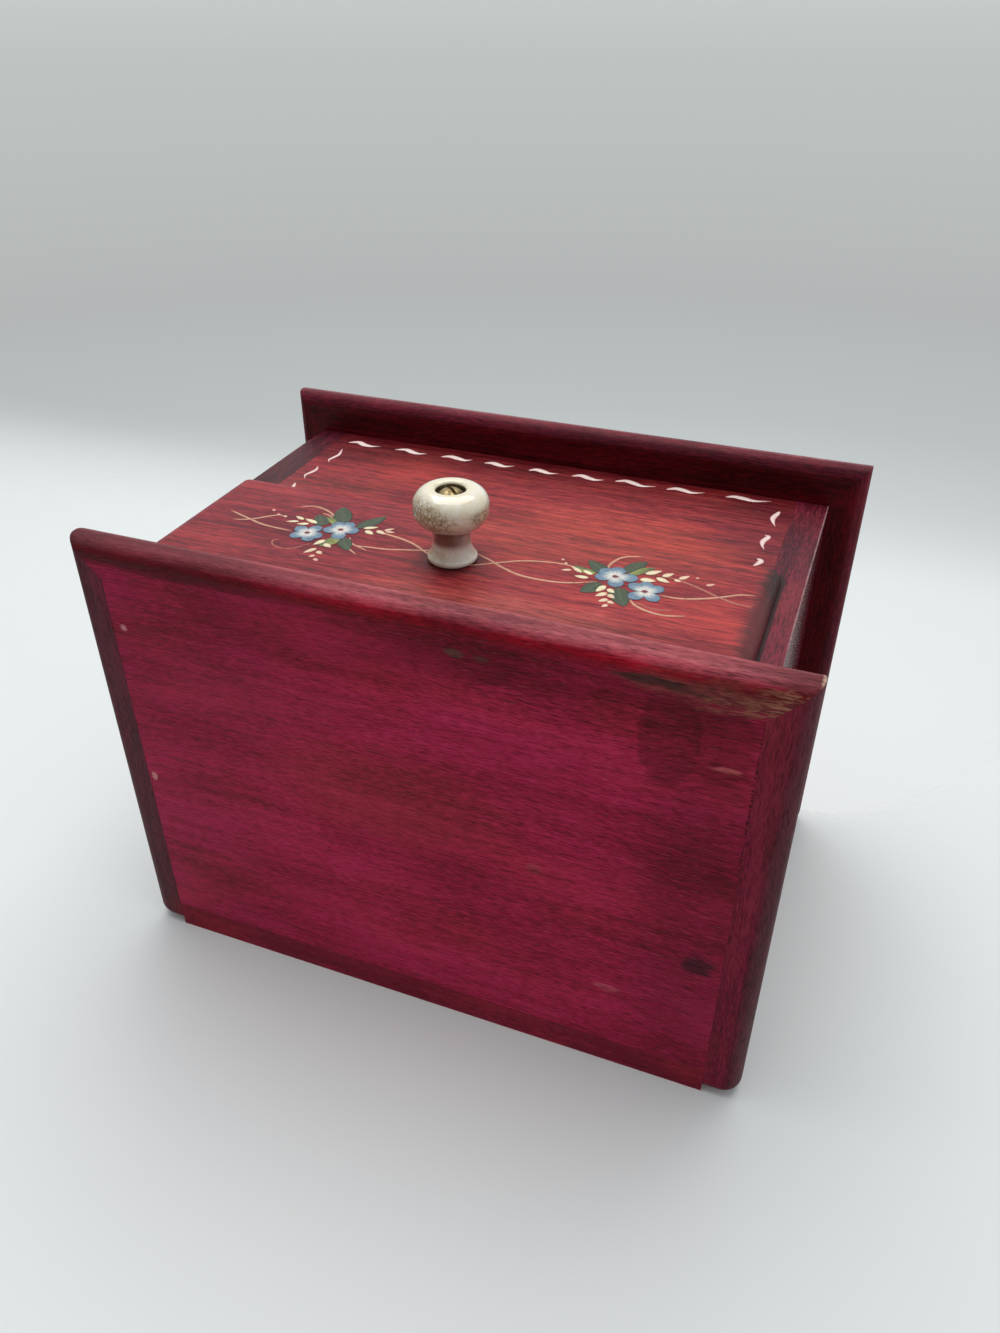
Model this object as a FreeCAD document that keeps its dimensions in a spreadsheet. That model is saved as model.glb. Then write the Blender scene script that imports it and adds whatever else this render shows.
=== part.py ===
# Painted table box, 8 by 6 by 5 inches: a drawer below, a lidded compartment above.
# The frame has its origin at the middle of the underside, the front facing -Y, the top +Z.
import FreeCAD, Part
import Sketcher
import math
import os
import re

doc = FreeCAD.newDocument("PaintedBox")
sheet = doc.addObject("Spreadsheet::Sheet", "Sizes")

# Driving sizes in millimetres, angles in degrees, one row each.
sizes = [
    ("body_width", 203.0, "case, outside of the two sides"),
    ("body_depth", 151.0, "front of the case to the back plane"),
    ("body_height", 127.0, "top of the base to the top of the walls"),
    ("wall_thick", 11.0, "sides and upper front"),
    ("back_thick", 11.0, "back board"),
    ("base_thick", 12.0, "base board"),
    ("lid_thick", 12.0, "lid board"),
    ("moulding_width", 12.0, "mitred edge strips of the base and the lid"),
    ("moulding_round", 5.5, "rounding of their outer edges"),
    ("board_corner", 6.5, "back corners of the strips, in plan"),
    ("front_ledge", 2.0, "board showing between the case front and the strip"),
    ("lid_gap", 0.3, "lid above the walls"),
    ("opening_height", 62.5, "drawer opening above the base"),
    ("floor_thick", 6.0, "floor of the upper compartment"),
    ("floor_housing", 4.0, "depth of its housing in the sides"),
    ("lip_thick", 5.0, "drawer front outside the case"),
    ("lip_round", 4.7, "rounding of its edges"),
    ("lip_corner", 3.0, "its upper corners, seen from the front"),
    ("lip_left", 9.2, "lip over the left post"),
    ("lip_right", 3.5, "lip over the right post"),
    ("lip_top", 4.0, "lip over the upper front"),
    ("lip_gap", 0.3, "lip in front of the case"),
    ("drawer_side_gap", 0.5, "drawer to each side"),
    ("drawer_top_gap", 0.9, "drawer below the compartment floor"),
    ("drawer_base_gap", 0.3, "drawer above the base"),
    ("drawer_back_gap", 12.3, "drawer in front of the back board"),
    ("tongue_thick", 8.0, "drawer front inside the opening"),
    ("drawer_wall", 7.0, "drawer sides and back"),
    ("bottom_thick", 4.0, "drawer bottom"),
    ("bottom_raise", 3.5, "drawer bottom above the drawer's lower edges"),
    ("bottom_groove", 3.0, "depth of the grooves that hold the bottom"),
    ("knob_across", -3.6, "knob from the middle of the case"),
    ("knob_up", 46.2, "knob above the underside"),
    ("knob_radius", 11.8, "head of the knob"),
    ("knob_length", 23.8, "knob, foot to crown"),
    ("knob_waist", 5.9, "radius of the waist"),
    ("knob_waist_up", 6.2, "waist above the foot"),
    ("knob_neck", 7.1, "radius where the head starts"),
    ("knob_neck_up", 11.6, "start of the head above the foot"),
    ("knob_widest_up", 18.1, "widest part above the foot"),
    ("knob_foot", 7.9, "radius of the foot"),
    ("knob_foot_thick", 2.0, "rounded edge of the foot"),
    ("knob_heel", 7.2, "radius of the foot where it meets the wood"),
    ("knob_toe", 7.4, "radius on top of the foot"),
    ("knob_crown", 6.6, "radius where the crown turns flat"),
    ("knob_well", 4.5, "radius of the screw's recess"),
    ("knob_well_depth", 2.3, "depth of the recess"),
    ("knob_well_round", 1.4, "rounding of its mouth"),
    ("screw_head_radius", 4.2, "knob screw head"),
    ("screw_head_height", 2.1, "crown of its round head"),
    ("screw_slot_width", 1.2, "its slot"),
    ("screw_slot_depth", 1.2, "depth of the slot"),
    ("screw_slot_turn", -38.0, "slot from level, seen from the front"),
    ("screw_radius", 1.9, "knob screw shank"),
    ("screw_bite", 10.5, "length of it in the drawer front"),
    ("screw_point", 3.8, "its tapered point"),
    ("screw_clear", 0.05, "screws in their holes"),
    ("hinge_length", 25.0, "each brass hinge"),
    ("hinge_inset", 37.5, "middle of each hinge from the side of the case"),
    ("leaf_width", 8.0, "leaf from the pin's axis"),
    ("leaf_thick", 1.0, "leaf"),
    ("barrel_radius", 2.0, "knuckles"),
    ("barrel_gap", 0.3, "free space round the knuckles"),
    ("knuckle_gap", 0.2, "between knuckles, along the pin"),
    ("pin_radius", 0.9, "hinge pin"),
    ("pin_clear", 0.05, "pin in the knuckles"),
    ("edge_relief", 0.6, "bevel of the back edges past the hinge axis"),
    ("hinge_screw_space", 14.0, "between the two screws of a leaf"),
    ("hinge_screw_radius", 0.9, "shank"),
    ("hinge_screw_head", 1.7, "radius of the flat head"),
    ("hinge_screw_taper", 0.8, "height of the flat head"),
    ("hinge_screw_length", 8.5, "whole screw"),
    ("hinge_screw_point", 1.8, "its tapered point"),
    ("hinge_slot_width", 0.5, "slot of a hinge screw"),
    ("hinge_slot_depth", 0.4, "depth of that slot"),
    ("brad_radius", 0.7, "shank of a brad in the back"),
    ("brad_head", 1.3, "radius of its head"),
    ("brad_head_thick", 0.8, "thickness of its head"),
    ("brad_length", 22.0, "whole brad"),
    ("brad_inset", 14.0, "end brads from the ends of the walls"),
    ("base_brad_inset", 31.5, "outer brads into the base, from the side of the case"),
    ("brad_base_up", 6.0, "brads into the base, above the underside"),
]
for row, (name, value, note) in enumerate(sizes, start=1):
    sheet.set(f"A{row}", name)
    sheet.set(f"B{row}", str(value))
    sheet.setAlias(f"B{row}", name)
    sheet.set(f"C{row}", note)
doc.recompute()

# Planes and edges that several pieces share, each written once as a formula.
places = {
    "half_width": "body_width / 2",
    "board_depth": "body_depth + front_ledge + moulding_width",
    "back_plane": "board_depth / 2",
    "board_front": "-board_depth / 2",
    "strip_line": "board_front + moulding_width",
    "case_front": "back_plane - body_depth",
    "back_inside": "back_plane - back_thick",
    "half_inside": "half_width - wall_thick",
    "half_board": "half_width + moulding_width",
    "wall_top": "base_thick + body_height",
    "lid_under": "wall_top + lid_gap",
    "lid_top": "lid_under + lid_thick",
    "opening_top": "base_thick + opening_height",
    "floor_top": "opening_top + floor_thick",
    "floor_front": "case_front + wall_thick",
    "half_floor": "half_inside + floor_housing",
    "lip_back": "case_front - lip_gap",
    "lip_face": "lip_back - lip_thick",
    "lip_edge_left": "-(half_inside + lip_left)",
    "lip_edge_right": "half_inside + lip_right",
    "lip_high": "opening_top + lip_top",
    "drawer_under": "base_thick + drawer_base_gap",
    "drawer_top": "opening_top - drawer_top_gap",
    "half_drawer": "half_inside - drawer_side_gap",
    "tongue_half": "half_drawer - drawer_wall",
    "tongue_back": "lip_back + tongue_thick",
    "drawer_rear": "back_inside - drawer_back_gap",
    "bottom_under": "drawer_under + bottom_raise",
    "bottom_top": "bottom_under + bottom_thick",
    "bottom_half": "tongue_half + bottom_groove",
    "hinge_axis_back": "back_plane - barrel_radius",
    "hinge_axis_up": "wall_top + lid_gap / 2",
    "leaf_front": "hinge_axis_back - leaf_width",
    "bevel_leg": "barrel_radius + edge_relief",
    "barrel_space": "barrel_radius + barrel_gap",
    "hinge_half": "hinge_length / 2",
    "hinge_place": "half_width - hinge_inset",
    "leaf_screw_line": "leaf_front + (leaf_width - barrel_space) / 2",
    "well_floor": "knob_length - knob_well_depth",
    "brad_line": "half_inside + wall_thick / 2",
    "brad_low": "base_thick + brad_inset",
    "brad_high": "wall_top - brad_inset",
    "brad_mid_low": "brad_low + (brad_high - brad_low) / 3",
    "brad_mid_high": "brad_high - (brad_high - brad_low) / 3",
    "base_brad_place": "half_width - base_brad_inset",
}

# The underside is the level that heights are counted from.
underside = "0"

# The places are kept as a set of variables, each bound to cells of the sheet alone.
known = doc.addObject("App::VarSet", "Places")
word = re.compile(r"[a-z_]+")


def spell_out(formula):
    """The formula with each place written out, down to the cells of the sheet."""

    def full(found):
        name = found.group(0)
        return f"({spell_out(places[name])})" if name in places else "Sizes." + name

    return word.sub(full, formula)


def bind(formula):
    """The formula with each name turned into its cell or its place."""

    def full(found):
        name = found.group(0)
        return ("Places." if name in places else "Sizes.") + name

    return word.sub(full, formula)


for place, formula in places.items():
    known.addProperty("App::PropertyFloat", place)
    known.setExpression(place, spell_out(formula))
doc.recompute()


def at(name):
    """One size or place as a number."""
    return getattr(known, name) if name in places else float(sheet.get(name))


pieces = []


# Sketches: every corner is held by two formulas, so that a changed size moves it.
def plane_sketch(owner, name, role, offset):
    sketch = owner.newObject("Sketcher::SketchObject", name)
    plane = [f for f in owner.Origin.OriginFeatures if f.Role == role][0]
    sketch.AttachmentSupport = [(plane, "")]
    sketch.MapMode = "FlatFace"
    sketch.setExpression("AttachmentOffset.Base.z", bind(offset))
    return sketch


def hold(sketch, number, point, across, up):
    for kind, formula in (("DistanceX", across), ("DistanceY", up)):
        held = sketch.addConstraint(Sketcher.Constraint(kind, -1, 1, number, point, 1.0))
        label = f"{kind}{number}"
        sketch.renameConstraint(held, label)
        sketch.setExpression("Constraints." + label, bind(formula))


def outline(sketch, corners):
    count = len(corners)
    steps = [2 * math.pi * i / count for i in range(count + 1)]
    ring = [FreeCAD.Vector(math.cos(a), math.sin(a), 0) for a in steps]
    for i in range(count):
        sketch.addGeometry(Part.LineSegment(ring[i], ring[i + 1]), False)
    for i in range(count):
        sketch.addConstraint(Sketcher.Constraint("Coincident", i, 2, (i + 1) % count, 1))
    for i, (across, up) in enumerate(corners):
        hold(sketch, i, 1, across, up)
    return sketch


def disc(sketch, across, up, radius):
    circle = Part.Circle(FreeCAD.Vector(1, 1, 0), FreeCAD.Vector(0, 0, 1), 1)
    number = sketch.addGeometry(circle, False)
    hold(sketch, number, 3, across, up)
    held = sketch.addConstraint(Sketcher.Constraint("Radius", number, 1.0))
    sketch.renameConstraint(held, "Radius")
    sketch.setExpression("Constraints.Radius", bind(radius))
    return sketch


def corners_of(left, right, low, high):
    return [(left, low), (right, low), (right, high), (left, high)]


# Solids: boards are pads, their housings and recesses are pockets.
def body(label):
    made = doc.addObject("PartDesign::Body", label)
    made.Label = label
    pieces.append(made)
    return made


def pad(owner, name, corners, low, high):
    sketch = outline(plane_sketch(owner, name + "Sketch", "XY_Plane", low), corners)
    made = owner.newObject("PartDesign::Pad", name)
    made.Profile = sketch
    made.setExpression("Length", bind(f"({high}) - ({low})"))
    doc.recompute()
    return made


def pocket(owner, name, sketch, length, along_normal=False):
    before = owner.Shape.Volume
    made = owner.newObject("PartDesign::Pocket", name)
    made.Profile = sketch
    made.Reversed = along_normal
    made.setExpression("Length", bind(length))
    doc.recompute()
    if not owner.Shape.Volume < before:
        raise RuntimeError(name + " cuts nothing")


def pocket_between(owner, name, corners, low, high):
    sketch = outline(plane_sketch(owner, name + "Sketch", "XY_Plane", high), corners)
    pocket(owner, name, sketch, f"({high}) - ({low})")


def dress(owner, kind, name, wanted, amount, radius):
    """Fillet or chamfer of the edges whose two ends pass the test."""
    base = owner.Tip
    found = [
        f"Edge{i}"
        for i, edge in enumerate(base.Shape.Edges, start=1)
        if len(edge.Vertexes) == 2 and wanted(edge.Vertexes[0].Point, edge.Vertexes[1].Point)
    ]
    made = owner.newObject("PartDesign::" + kind, name)
    made.Base = (base, found)
    made.setExpression(amount, bind(radius))
    doc.recompute()


def near(one, other):
    return abs(one - other) < 1e-4


def level_edges(axis, place):
    """Level edges that lie where one coordinate has the given value."""

    def wanted(start, end):
        on_line = [near(getattr(point, axis), place) for point in (start, end)]
        return near(start.z, end.z) and all(on_line)

    return wanted


def plain(label, shape):
    made = doc.addObject("Part::Feature", label)
    made.Label = label
    made.Shape = shape
    pieces.append(made)


# Base and lid: a middle panel edged by three rounded strips, mitred at the front corners.
def edged_board(name, low, high, panel_back):
    title = name.title()
    panel = body(name + "_panel")
    middle = corners_of("-half_width", "half_width", "strip_line", panel_back)
    pad(panel, title + "PanelPad", middle, low, high)

    front = body(name + "_moulding_front")
    mitred = [
        ("-half_board", "board_front"),
        ("half_board", "board_front"),
        ("half_width", "strip_line"),
        ("-half_width", "strip_line"),
    ]
    pad(front, title + "FrontPad", mitred, low, high)
    outer_front = level_edges("y", at("board_front"))
    dress(front, "Fillet", title + "FrontRound", outer_front, "Radius", "moulding_round")

    for side, sign in (("left", "-"), ("right", "")):
        strip = body(f"{name}_moulding_{side}")
        corners = [
            (sign + "half_board", "board_front"),
            (sign + "half_board", "back_plane"),
            (sign + "half_width", "back_plane"),
            (sign + "half_width", "strip_line"),
        ]
        pad(strip, title + side.title() + "Pad", corners, low, high)
        outer = -at("half_board") if sign else at("half_board")
        back = at("back_plane")

        def back_corner(start, end):
            ends = (start, end)
            return all(near(point.x, outer) and near(point.y, back) for point in ends)

        dress(strip, "Fillet", title + side.title() + "Corner", back_corner, "Radius", "board_corner")
        outer_side = level_edges("x", outer)
        dress(strip, "Fillet", title + side.title() + "Round", outer_side, "Radius", "moulding_round")
    return panel


# Hinge seats: recesses for leaves and barrels, pilot holes, and bevelled back edges.
def back_bevel(owner, name, height):
    def outer_back(start, end):
        ends = (start, end)
        return all(near(point.y, at("back_plane")) and near(point.z, height) for point in ends)

    dress(owner, "Chamfer", name, outer_back, "Size", "bevel_leg")


def hinge_recesses(owner, prefix, low, high):
    for side, sign in (("Left", "-"), ("Right", "")):
        first = sign + "hinge_place - hinge_half - knuckle_gap"
        last = sign + "hinge_place + hinge_half + knuckle_gap"
        corners = corners_of(first, last, "leaf_front", "back_plane + barrel_gap")
        pocket_between(owner, f"{prefix}Leaf{side}", corners, low, high)
        bed = plane_sketch(owner, f"{prefix}Barrel{side}Sketch", "YZ_Plane", last)
        disc(bed, "hinge_axis_back", "hinge_axis_up", "barrel_space")
        pocket(owner, f"{prefix}Barrel{side}", bed, f"({last}) - ({first})")


def pilot_holes(owner, prefix, mouth, end):
    """Holes for the four leaf screws in one board, as deep as the screws are long."""
    for side, sign in (("Left", "-"), ("Right", "")):
        for step, add in (("Outer", "-"), ("Inner", "+")):
            name = f"{prefix}Hole{side}{step}"
            upper, lower = (mouth, end) if prefix == "Back" else (end, mouth)
            sketch = plane_sketch(owner, name + "Sketch", "XY_Plane", upper)
            across = f"{sign}hinge_place {add} hinge_screw_space / 2"
            disc(sketch, across, "leaf_screw_line", "hinge_screw_radius + screw_clear")
            pocket(owner, name, sketch, f"({upper}) - ({lower})")


def back_drilling(owner, name, spots, entry, radius, length):
    """Holes that run forward from an upright plane behind the board."""
    for number, (across, up) in enumerate(spots, start=1):
        sketch = plane_sketch(owner, f"{name}Sketch{number}", "XZ_Plane", f"-({entry})")
        disc(sketch, across, up, radius + " + screw_clear")
        pocket(owner, f"{name}{number}", sketch, length, True)


brad_rows = ("brad_low", "brad_mid_low", "brad_mid_high", "brad_high")
base_brad_steps = (-1, 0, 1)
base_spots = [(f"{step} * base_brad_place", "brad_base_up") for step in base_brad_steps]

base_panel = edged_board("base", underside, "base_thick", "back_inside")
brad_depth = "brad_length - back_thick"
back_drilling(base_panel, "BaseBrad", base_spots, "back_inside", "brad_radius", brad_depth)
lid_panel = edged_board("lid", "lid_under", "lid_top", "back_plane")
back_bevel(lid_panel, "LidBevel", at("lid_under"))
hinge_recesses(lid_panel, "Lid", "lid_under", "lid_under + leaf_thick")
pilot_holes(lid_panel, "Lid", "lid_under", "lid_under + hinge_screw_length + screw_clear")

# Case: two sides, a back that runs down between the base strips, and the upper front.
for side, sign in (("left", "-"), ("right", "")):
    wall = body("side_" + side)
    inside = sign + "half_inside"
    pad(
        wall,
        f"Side{side.title()}Pad",
        corners_of(sign + "half_width", inside, "case_front", "back_inside"),
        "base_thick",
        "wall_top",
    )
    pocket_between(
        wall,
        f"Side{side.title()}Housing",
        corners_of(inside, sign + "half_floor", "floor_front", "back_inside"),
        "opening_top",
        "floor_top",
    )
    spots = [(sign + "brad_line", row) for row in brad_rows]
    name = f"Side{side.title()}Brad"
    back_drilling(wall, name, spots, "back_inside", "brad_radius", brad_depth)

back_panel = body("back_panel")
pad(
    back_panel,
    "BackPad",
    corners_of("-half_width", "half_width", "back_inside", "back_plane"),
    underside,
    "wall_top",
)
back_bevel(back_panel, "BackBevel", at("wall_top"))
hinge_recesses(back_panel, "Back", "wall_top - leaf_thick", "wall_top")
pilot_holes(back_panel, "Back", "wall_top", "wall_top - hinge_screw_length - screw_clear")
back_spots = [(sign + "brad_line", row) for sign in ("-", "") for row in brad_rows] + base_spots
head_depth = "brad_head_thick + screw_clear"
back_drilling(back_panel, "BackBrad", back_spots, "back_plane", "brad_radius", "back_thick")
back_drilling(back_panel, "BackHead", back_spots, "back_plane", "brad_head", head_depth)

front_panel = body("front_panel")
pad(
    front_panel,
    "UpperFrontPad",
    corners_of("-half_inside", "half_inside", "case_front", "floor_front"),
    "opening_top",
    "wall_top",
)

compartment_floor = body("compartment_floor")
pad(
    compartment_floor,
    "FloorPad",
    corners_of("-half_floor", "half_floor", "floor_front", "back_inside"),
    "opening_top",
    "floor_top",
)

# Drawer: a lipped front with a tongue between the sides, a back, and a grooved-in bottom.
drawer_front = body("drawer_front")
pad(
    drawer_front,
    "LipPad",
    corners_of("lip_edge_left", "lip_edge_right", "lip_face", "lip_back"),
    "drawer_under",
    "lip_high",
)


def upper_corner(start, end):
    return near(start.z, at("lip_high")) and near(end.z, at("lip_high")) and near(start.x, end.x)


dress(drawer_front, "Fillet", "LipCorners", upper_corner, "Radius", "lip_corner")


def face_edge(start, end):
    return near(start.y, at("lip_face")) and near(end.y, at("lip_face"))


dress(drawer_front, "Fillet", "LipRound", face_edge, "Radius", "lip_round")
pad(
    drawer_front,
    "TonguePad",
    corners_of("-tongue_half", "tongue_half", "lip_back", "tongue_back"),
    "drawer_under",
    "drawer_top",
)
pocket_between(
    drawer_front,
    "FrontGroove",
    corners_of("-tongue_half", "tongue_half", "tongue_back - bottom_groove", "tongue_back"),
    "bottom_under",
    "bottom_top",
)
knob_hole = plane_sketch(drawer_front, "KnobHoleSketch", "XZ_Plane", "-lip_face")
disc(knob_hole, "knob_across", "knob_up", "screw_radius + screw_clear")
pocket(drawer_front, "KnobHole", knob_hole, "screw_bite + screw_clear")

for side, sign in (("left", "-"), ("right", "")):
    wall = body("drawer_side_" + side)
    pad(
        wall,
        f"DrawerSide{side.title()}Pad",
        corners_of(sign + "half_drawer", sign + "tongue_half", "lip_back", "drawer_rear"),
        "drawer_under",
        "drawer_top",
    )
    pocket_between(
        wall,
        f"DrawerSide{side.title()}Groove",
        corners_of(sign + "tongue_half", sign + "bottom_half", "tongue_back", "drawer_rear"),
        "bottom_under",
        "bottom_top",
    )

drawer_back = body("drawer_back")
pad(
    drawer_back,
    "DrawerBackPad",
    corners_of("-tongue_half", "tongue_half", "drawer_rear - drawer_wall", "drawer_rear"),
    "bottom_top",
    "drawer_top",
)

drawer_bottom = body("drawer_bottom")
bottom_edges = [
    ("-tongue_half", "tongue_back - bottom_groove"),
    ("tongue_half", "tongue_back - bottom_groove"),
    ("tongue_half", "tongue_back"),
    ("bottom_half", "tongue_back"),
    ("bottom_half", "drawer_rear"),
    ("-bottom_half", "drawer_rear"),
    ("-bottom_half", "tongue_back"),
    ("-tongue_half", "tongue_back"),
]
pad(drawer_bottom, "DrawerBottomPad", bottom_edges, "bottom_under", "bottom_top")


# Hardware is turned and stamped, so it is made of plain solids of revolution and plates.
ALONG_X = FreeCAD.Vector(1, 0, 0)
UP = FreeCAD.Vector(0, 0, 1)


def turned(outline_edges):
    """Solid of revolution about Z of a closed outline in the XZ plane."""
    face = Part.Face(Part.Wire(outline_edges))
    return face.revolve(FreeCAD.Vector(0, 0, 0), UP, 360)


def on_profile(radius, height):
    return FreeCAD.Vector(radius, 0, height)


def line(start, end):
    return Part.LineSegment(start, end).toShape()


def arc(start, through, end):
    return Part.Arc(start, through, end).toShape()


def on_drawer_front(shape):
    """Turns the local +Z towards the viewer and sets the shape on the drawer front."""
    shape.rotate(FreeCAD.Vector(0, 0, 0), ALONG_X, 90)
    shape.translate(FreeCAD.Vector(at("knob_across"), at("lip_face"), at("knob_up")))
    return shape


def knob_shape():
    bore = at("screw_radius") + at("screw_clear")
    foot, waist, neck = at("knob_foot"), at("knob_waist"), at("knob_neck")
    rim, top, well = at("knob_foot_thick"), at("knob_length"), at("knob_well")
    widest, widest_up, crown = at("knob_radius"), at("knob_widest_up"), at("knob_crown")
    neck_up, mouth = at("knob_neck_up"), at("knob_well_round")
    heel = on_profile(at("knob_heel"), 0)
    toe = on_profile(at("knob_toe"), rim)
    under_head = on_profile(neck, neck_up)
    middle = on_profile(widest, widest_up)
    brow = on_profile(crown, top)
    well_edge = on_profile(well + mouth, top)
    lean = math.sqrt(0.5)
    low_bulge = on_profile(neck + (widest - neck) * lean, widest_up - (widest_up - neck_up) * lean)
    high_bulge = on_profile(crown + (widest - crown) * lean, widest_up + (top - widest_up) * lean)
    lip_turn = on_profile(well + mouth * (1 - lean), top - mouth * (1 - lean))
    well_top = on_profile(well, top - mouth)
    well_low = on_profile(well, at("well_floor"))
    bore_top = on_profile(bore, at("well_floor"))
    bore_low = on_profile(bore, 0)
    return turned(
        [
            line(bore_low, heel),
            arc(heel, on_profile(foot, rim / 2), toe),
            arc(toe, on_profile(waist, at("knob_waist_up")), under_head),
            arc(under_head, low_bulge, middle),
            arc(middle, high_bulge, brow),
            line(brow, well_edge),
            arc(well_edge, lip_turn, well_top),
            line(well_top, well_low),
            line(well_low, bore_top),
            line(bore_top, bore_low),
        ]
    )


def knob_screw_shape():
    radius, head, crown = at("screw_radius"), at("screw_head_radius"), at("screw_head_height")
    seat, bite = at("well_floor"), at("screw_bite")
    ball = (head * head + crown * crown) / (2 * crown)
    side_turn = math.asin(head / ball) / 2
    shoulder = on_profile(ball * math.sin(side_turn), seat + crown - ball * (1 - math.cos(side_turn)))
    tip, tip_start = on_profile(0, -bite), on_profile(radius, at("screw_point") - bite)
    screw = turned(
        [
            line(tip, tip_start),
            line(tip_start, on_profile(radius, seat)),
            line(on_profile(radius, seat), on_profile(head, seat)),
            arc(on_profile(head, seat), shoulder, on_profile(0, seat + crown)),
            line(on_profile(0, seat + crown), tip),
        ]
    )
    width, depth = at("screw_slot_width"), at("screw_slot_depth")
    slot = Part.makeBox(2 * head, width, crown, FreeCAD.Vector(-head, -width / 2, seat + crown - depth))
    slot.rotate(FreeCAD.Vector(0, 0, 0), UP, at("screw_slot_turn"))
    return screw.cut(slot)


plain("drawer_knob", on_drawer_front(knob_shape()))
plain("knob_screw", on_drawer_front(knob_screw_shape()))


def flat_screw(across, height, down):
    """Flat-headed slotted screw, head level with the leaf; it points down or up."""
    radius, head = at("hinge_screw_radius"), at("hinge_screw_head")
    taper, length = at("hinge_screw_taper"), at("hinge_screw_length")
    point_start = at("hinge_screw_point") - length
    screw = turned(
        [
            line(on_profile(0, 0), on_profile(head, 0)),
            line(on_profile(head, 0), on_profile(radius, -taper)),
            line(on_profile(radius, -taper), on_profile(radius, point_start)),
            line(on_profile(radius, point_start), on_profile(0, -length)),
            line(on_profile(0, -length), on_profile(0, 0)),
        ]
    )
    width, depth = at("hinge_slot_width"), at("hinge_slot_depth")
    screw = screw.cut(Part.makeBox(2 * head, width, depth, FreeCAD.Vector(-head, -width / 2, -depth)))
    if not down:
        screw.rotate(FreeCAD.Vector(0, 0, 0), ALONG_X, 180)
    screw.translate(FreeCAD.Vector(across, at("leaf_screw_line"), height))
    return screw


def countersink(across, height, down):
    """Hole in a leaf that fits a flat-headed screw with the named clearance."""
    clear = at("screw_clear")
    head, radius = at("hinge_screw_head") + clear, at("hinge_screw_radius") + clear
    taper, leaf = at("hinge_screw_taper"), at("leaf_thick")
    way = FreeCAD.Vector(0, 0, -1 if down else 1)
    mouth = FreeCAD.Vector(across, at("leaf_screw_line"), height)
    hole = Part.makeCylinder(radius, 2 * leaf, mouth, way)
    return Part.makeCone(head, radius, taper, mouth, way).fuse(hole)


def leaf_shape(middle, low, face, down, knuckles):
    """Hinge leaf with every second knuckle, bored for the pin and two screws."""
    length, thick, barrel = at("hinge_length"), at("leaf_thick"), at("barrel_radius")
    axis_back, axis_up = at("hinge_axis_back"), at("hinge_axis_up")
    pitch, gap = length / knuckle_count, at("knuckle_gap")
    start = middle - length / 2
    plate_width = at("leaf_width") - at("barrel_space")
    leaf = Part.makeBox(length, plate_width, thick, FreeCAD.Vector(start, at("leaf_front"), low))
    for number in knuckles:
        first = start + number * pitch + gap / 2
        corner = FreeCAD.Vector(first, at("leaf_front"), low)
        leaf = leaf.fuse(Part.makeBox(pitch - gap, at("leaf_width"), thick, corner))
        centre = FreeCAD.Vector(first, axis_back, axis_up)
        leaf = leaf.fuse(Part.makeCylinder(barrel, pitch - gap, centre, ALONG_X))
    bore = at("pin_radius") + at("pin_clear")
    leaf = leaf.cut(Part.makeCylinder(bore, length, FreeCAD.Vector(start, axis_back, axis_up), ALONG_X))
    for across in leaf_screws(middle):
        leaf = leaf.cut(countersink(across, face, down))
    return leaf.removeSplitter()


def leaf_screws(middle):
    return [middle - at("hinge_screw_space") / 2, middle + at("hinge_screw_space") / 2]


knuckle_count = 5
case_knuckles = range(0, knuckle_count, 2)
lid_knuckles = range(1, knuckle_count, 2)
case_screws = []
lid_screws = []
wall_top, lid_under = at("wall_top"), at("lid_under")
for side, middle in (("left", -at("hinge_place")), ("right", at("hinge_place"))):
    case_leaf = leaf_shape(middle, wall_top - at("leaf_thick"), wall_top, True, case_knuckles)
    lid_leaf = leaf_shape(middle, lid_under, lid_under, False, lid_knuckles)
    plain("hinge_case_leaf_" + side, case_leaf)
    plain("hinge_lid_leaf_" + side, lid_leaf)
    length, first = at("hinge_length"), middle - at("hinge_length") / 2
    pin_start = FreeCAD.Vector(first, at("hinge_axis_back"), at("hinge_axis_up"))
    plain("hinge_pin_" + side, Part.makeCylinder(at("pin_radius"), length, pin_start, ALONG_X))
    case_screws += [flat_screw(across, wall_top, True) for across in leaf_screws(middle)]
    lid_screws += [flat_screw(across, lid_under, False) for across in leaf_screws(middle)]
plain("hinge_case_screws", Part.makeCompound(case_screws))
plain("hinge_lid_screws", Part.makeCompound(lid_screws))


def brad(across, up):
    way = FreeCAD.Vector(0, -1, 0)
    entry = FreeCAD.Vector(across, at("back_plane"), up)
    shank = Part.makeCylinder(at("brad_radius"), at("brad_length"), entry, way)
    head = Part.makeCylinder(at("brad_head"), at("brad_head_thick"), entry, way)
    return shank.fuse(head).removeSplitter()


brads = [brad(side * at("brad_line"), at(row)) for side in (-1, 1) for row in brad_rows]
brads += [brad(step * at("base_brad_place"), at("brad_base_up")) for step in base_brad_steps]
plain("back_brads", Part.makeCompound(brads))

# Every object has to be sound before any piece is written.
doc.recompute()
for thing in doc.Objects:
    if "Invalid" in thing.State or "Error" in thing.State:
        raise RuntimeError(thing.Name + " failed: " + ", ".join(thing.State))
os.makedirs("parts", exist_ok=True)
for piece in pieces:
    if piece.Shape.isNull() or not piece.Shape.isValid():
        raise RuntimeError(piece.Label + " is not a sound solid")
for piece in pieces:
    piece.Shape.exportStep(f"parts/{piece.Label}.step")
    print(piece.Label, len(piece.Shape.Solids), round(piece.Shape.Volume, 1))
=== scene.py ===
import math
import random

import bmesh
import bpy
from mathutils import Matrix, Vector


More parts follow.
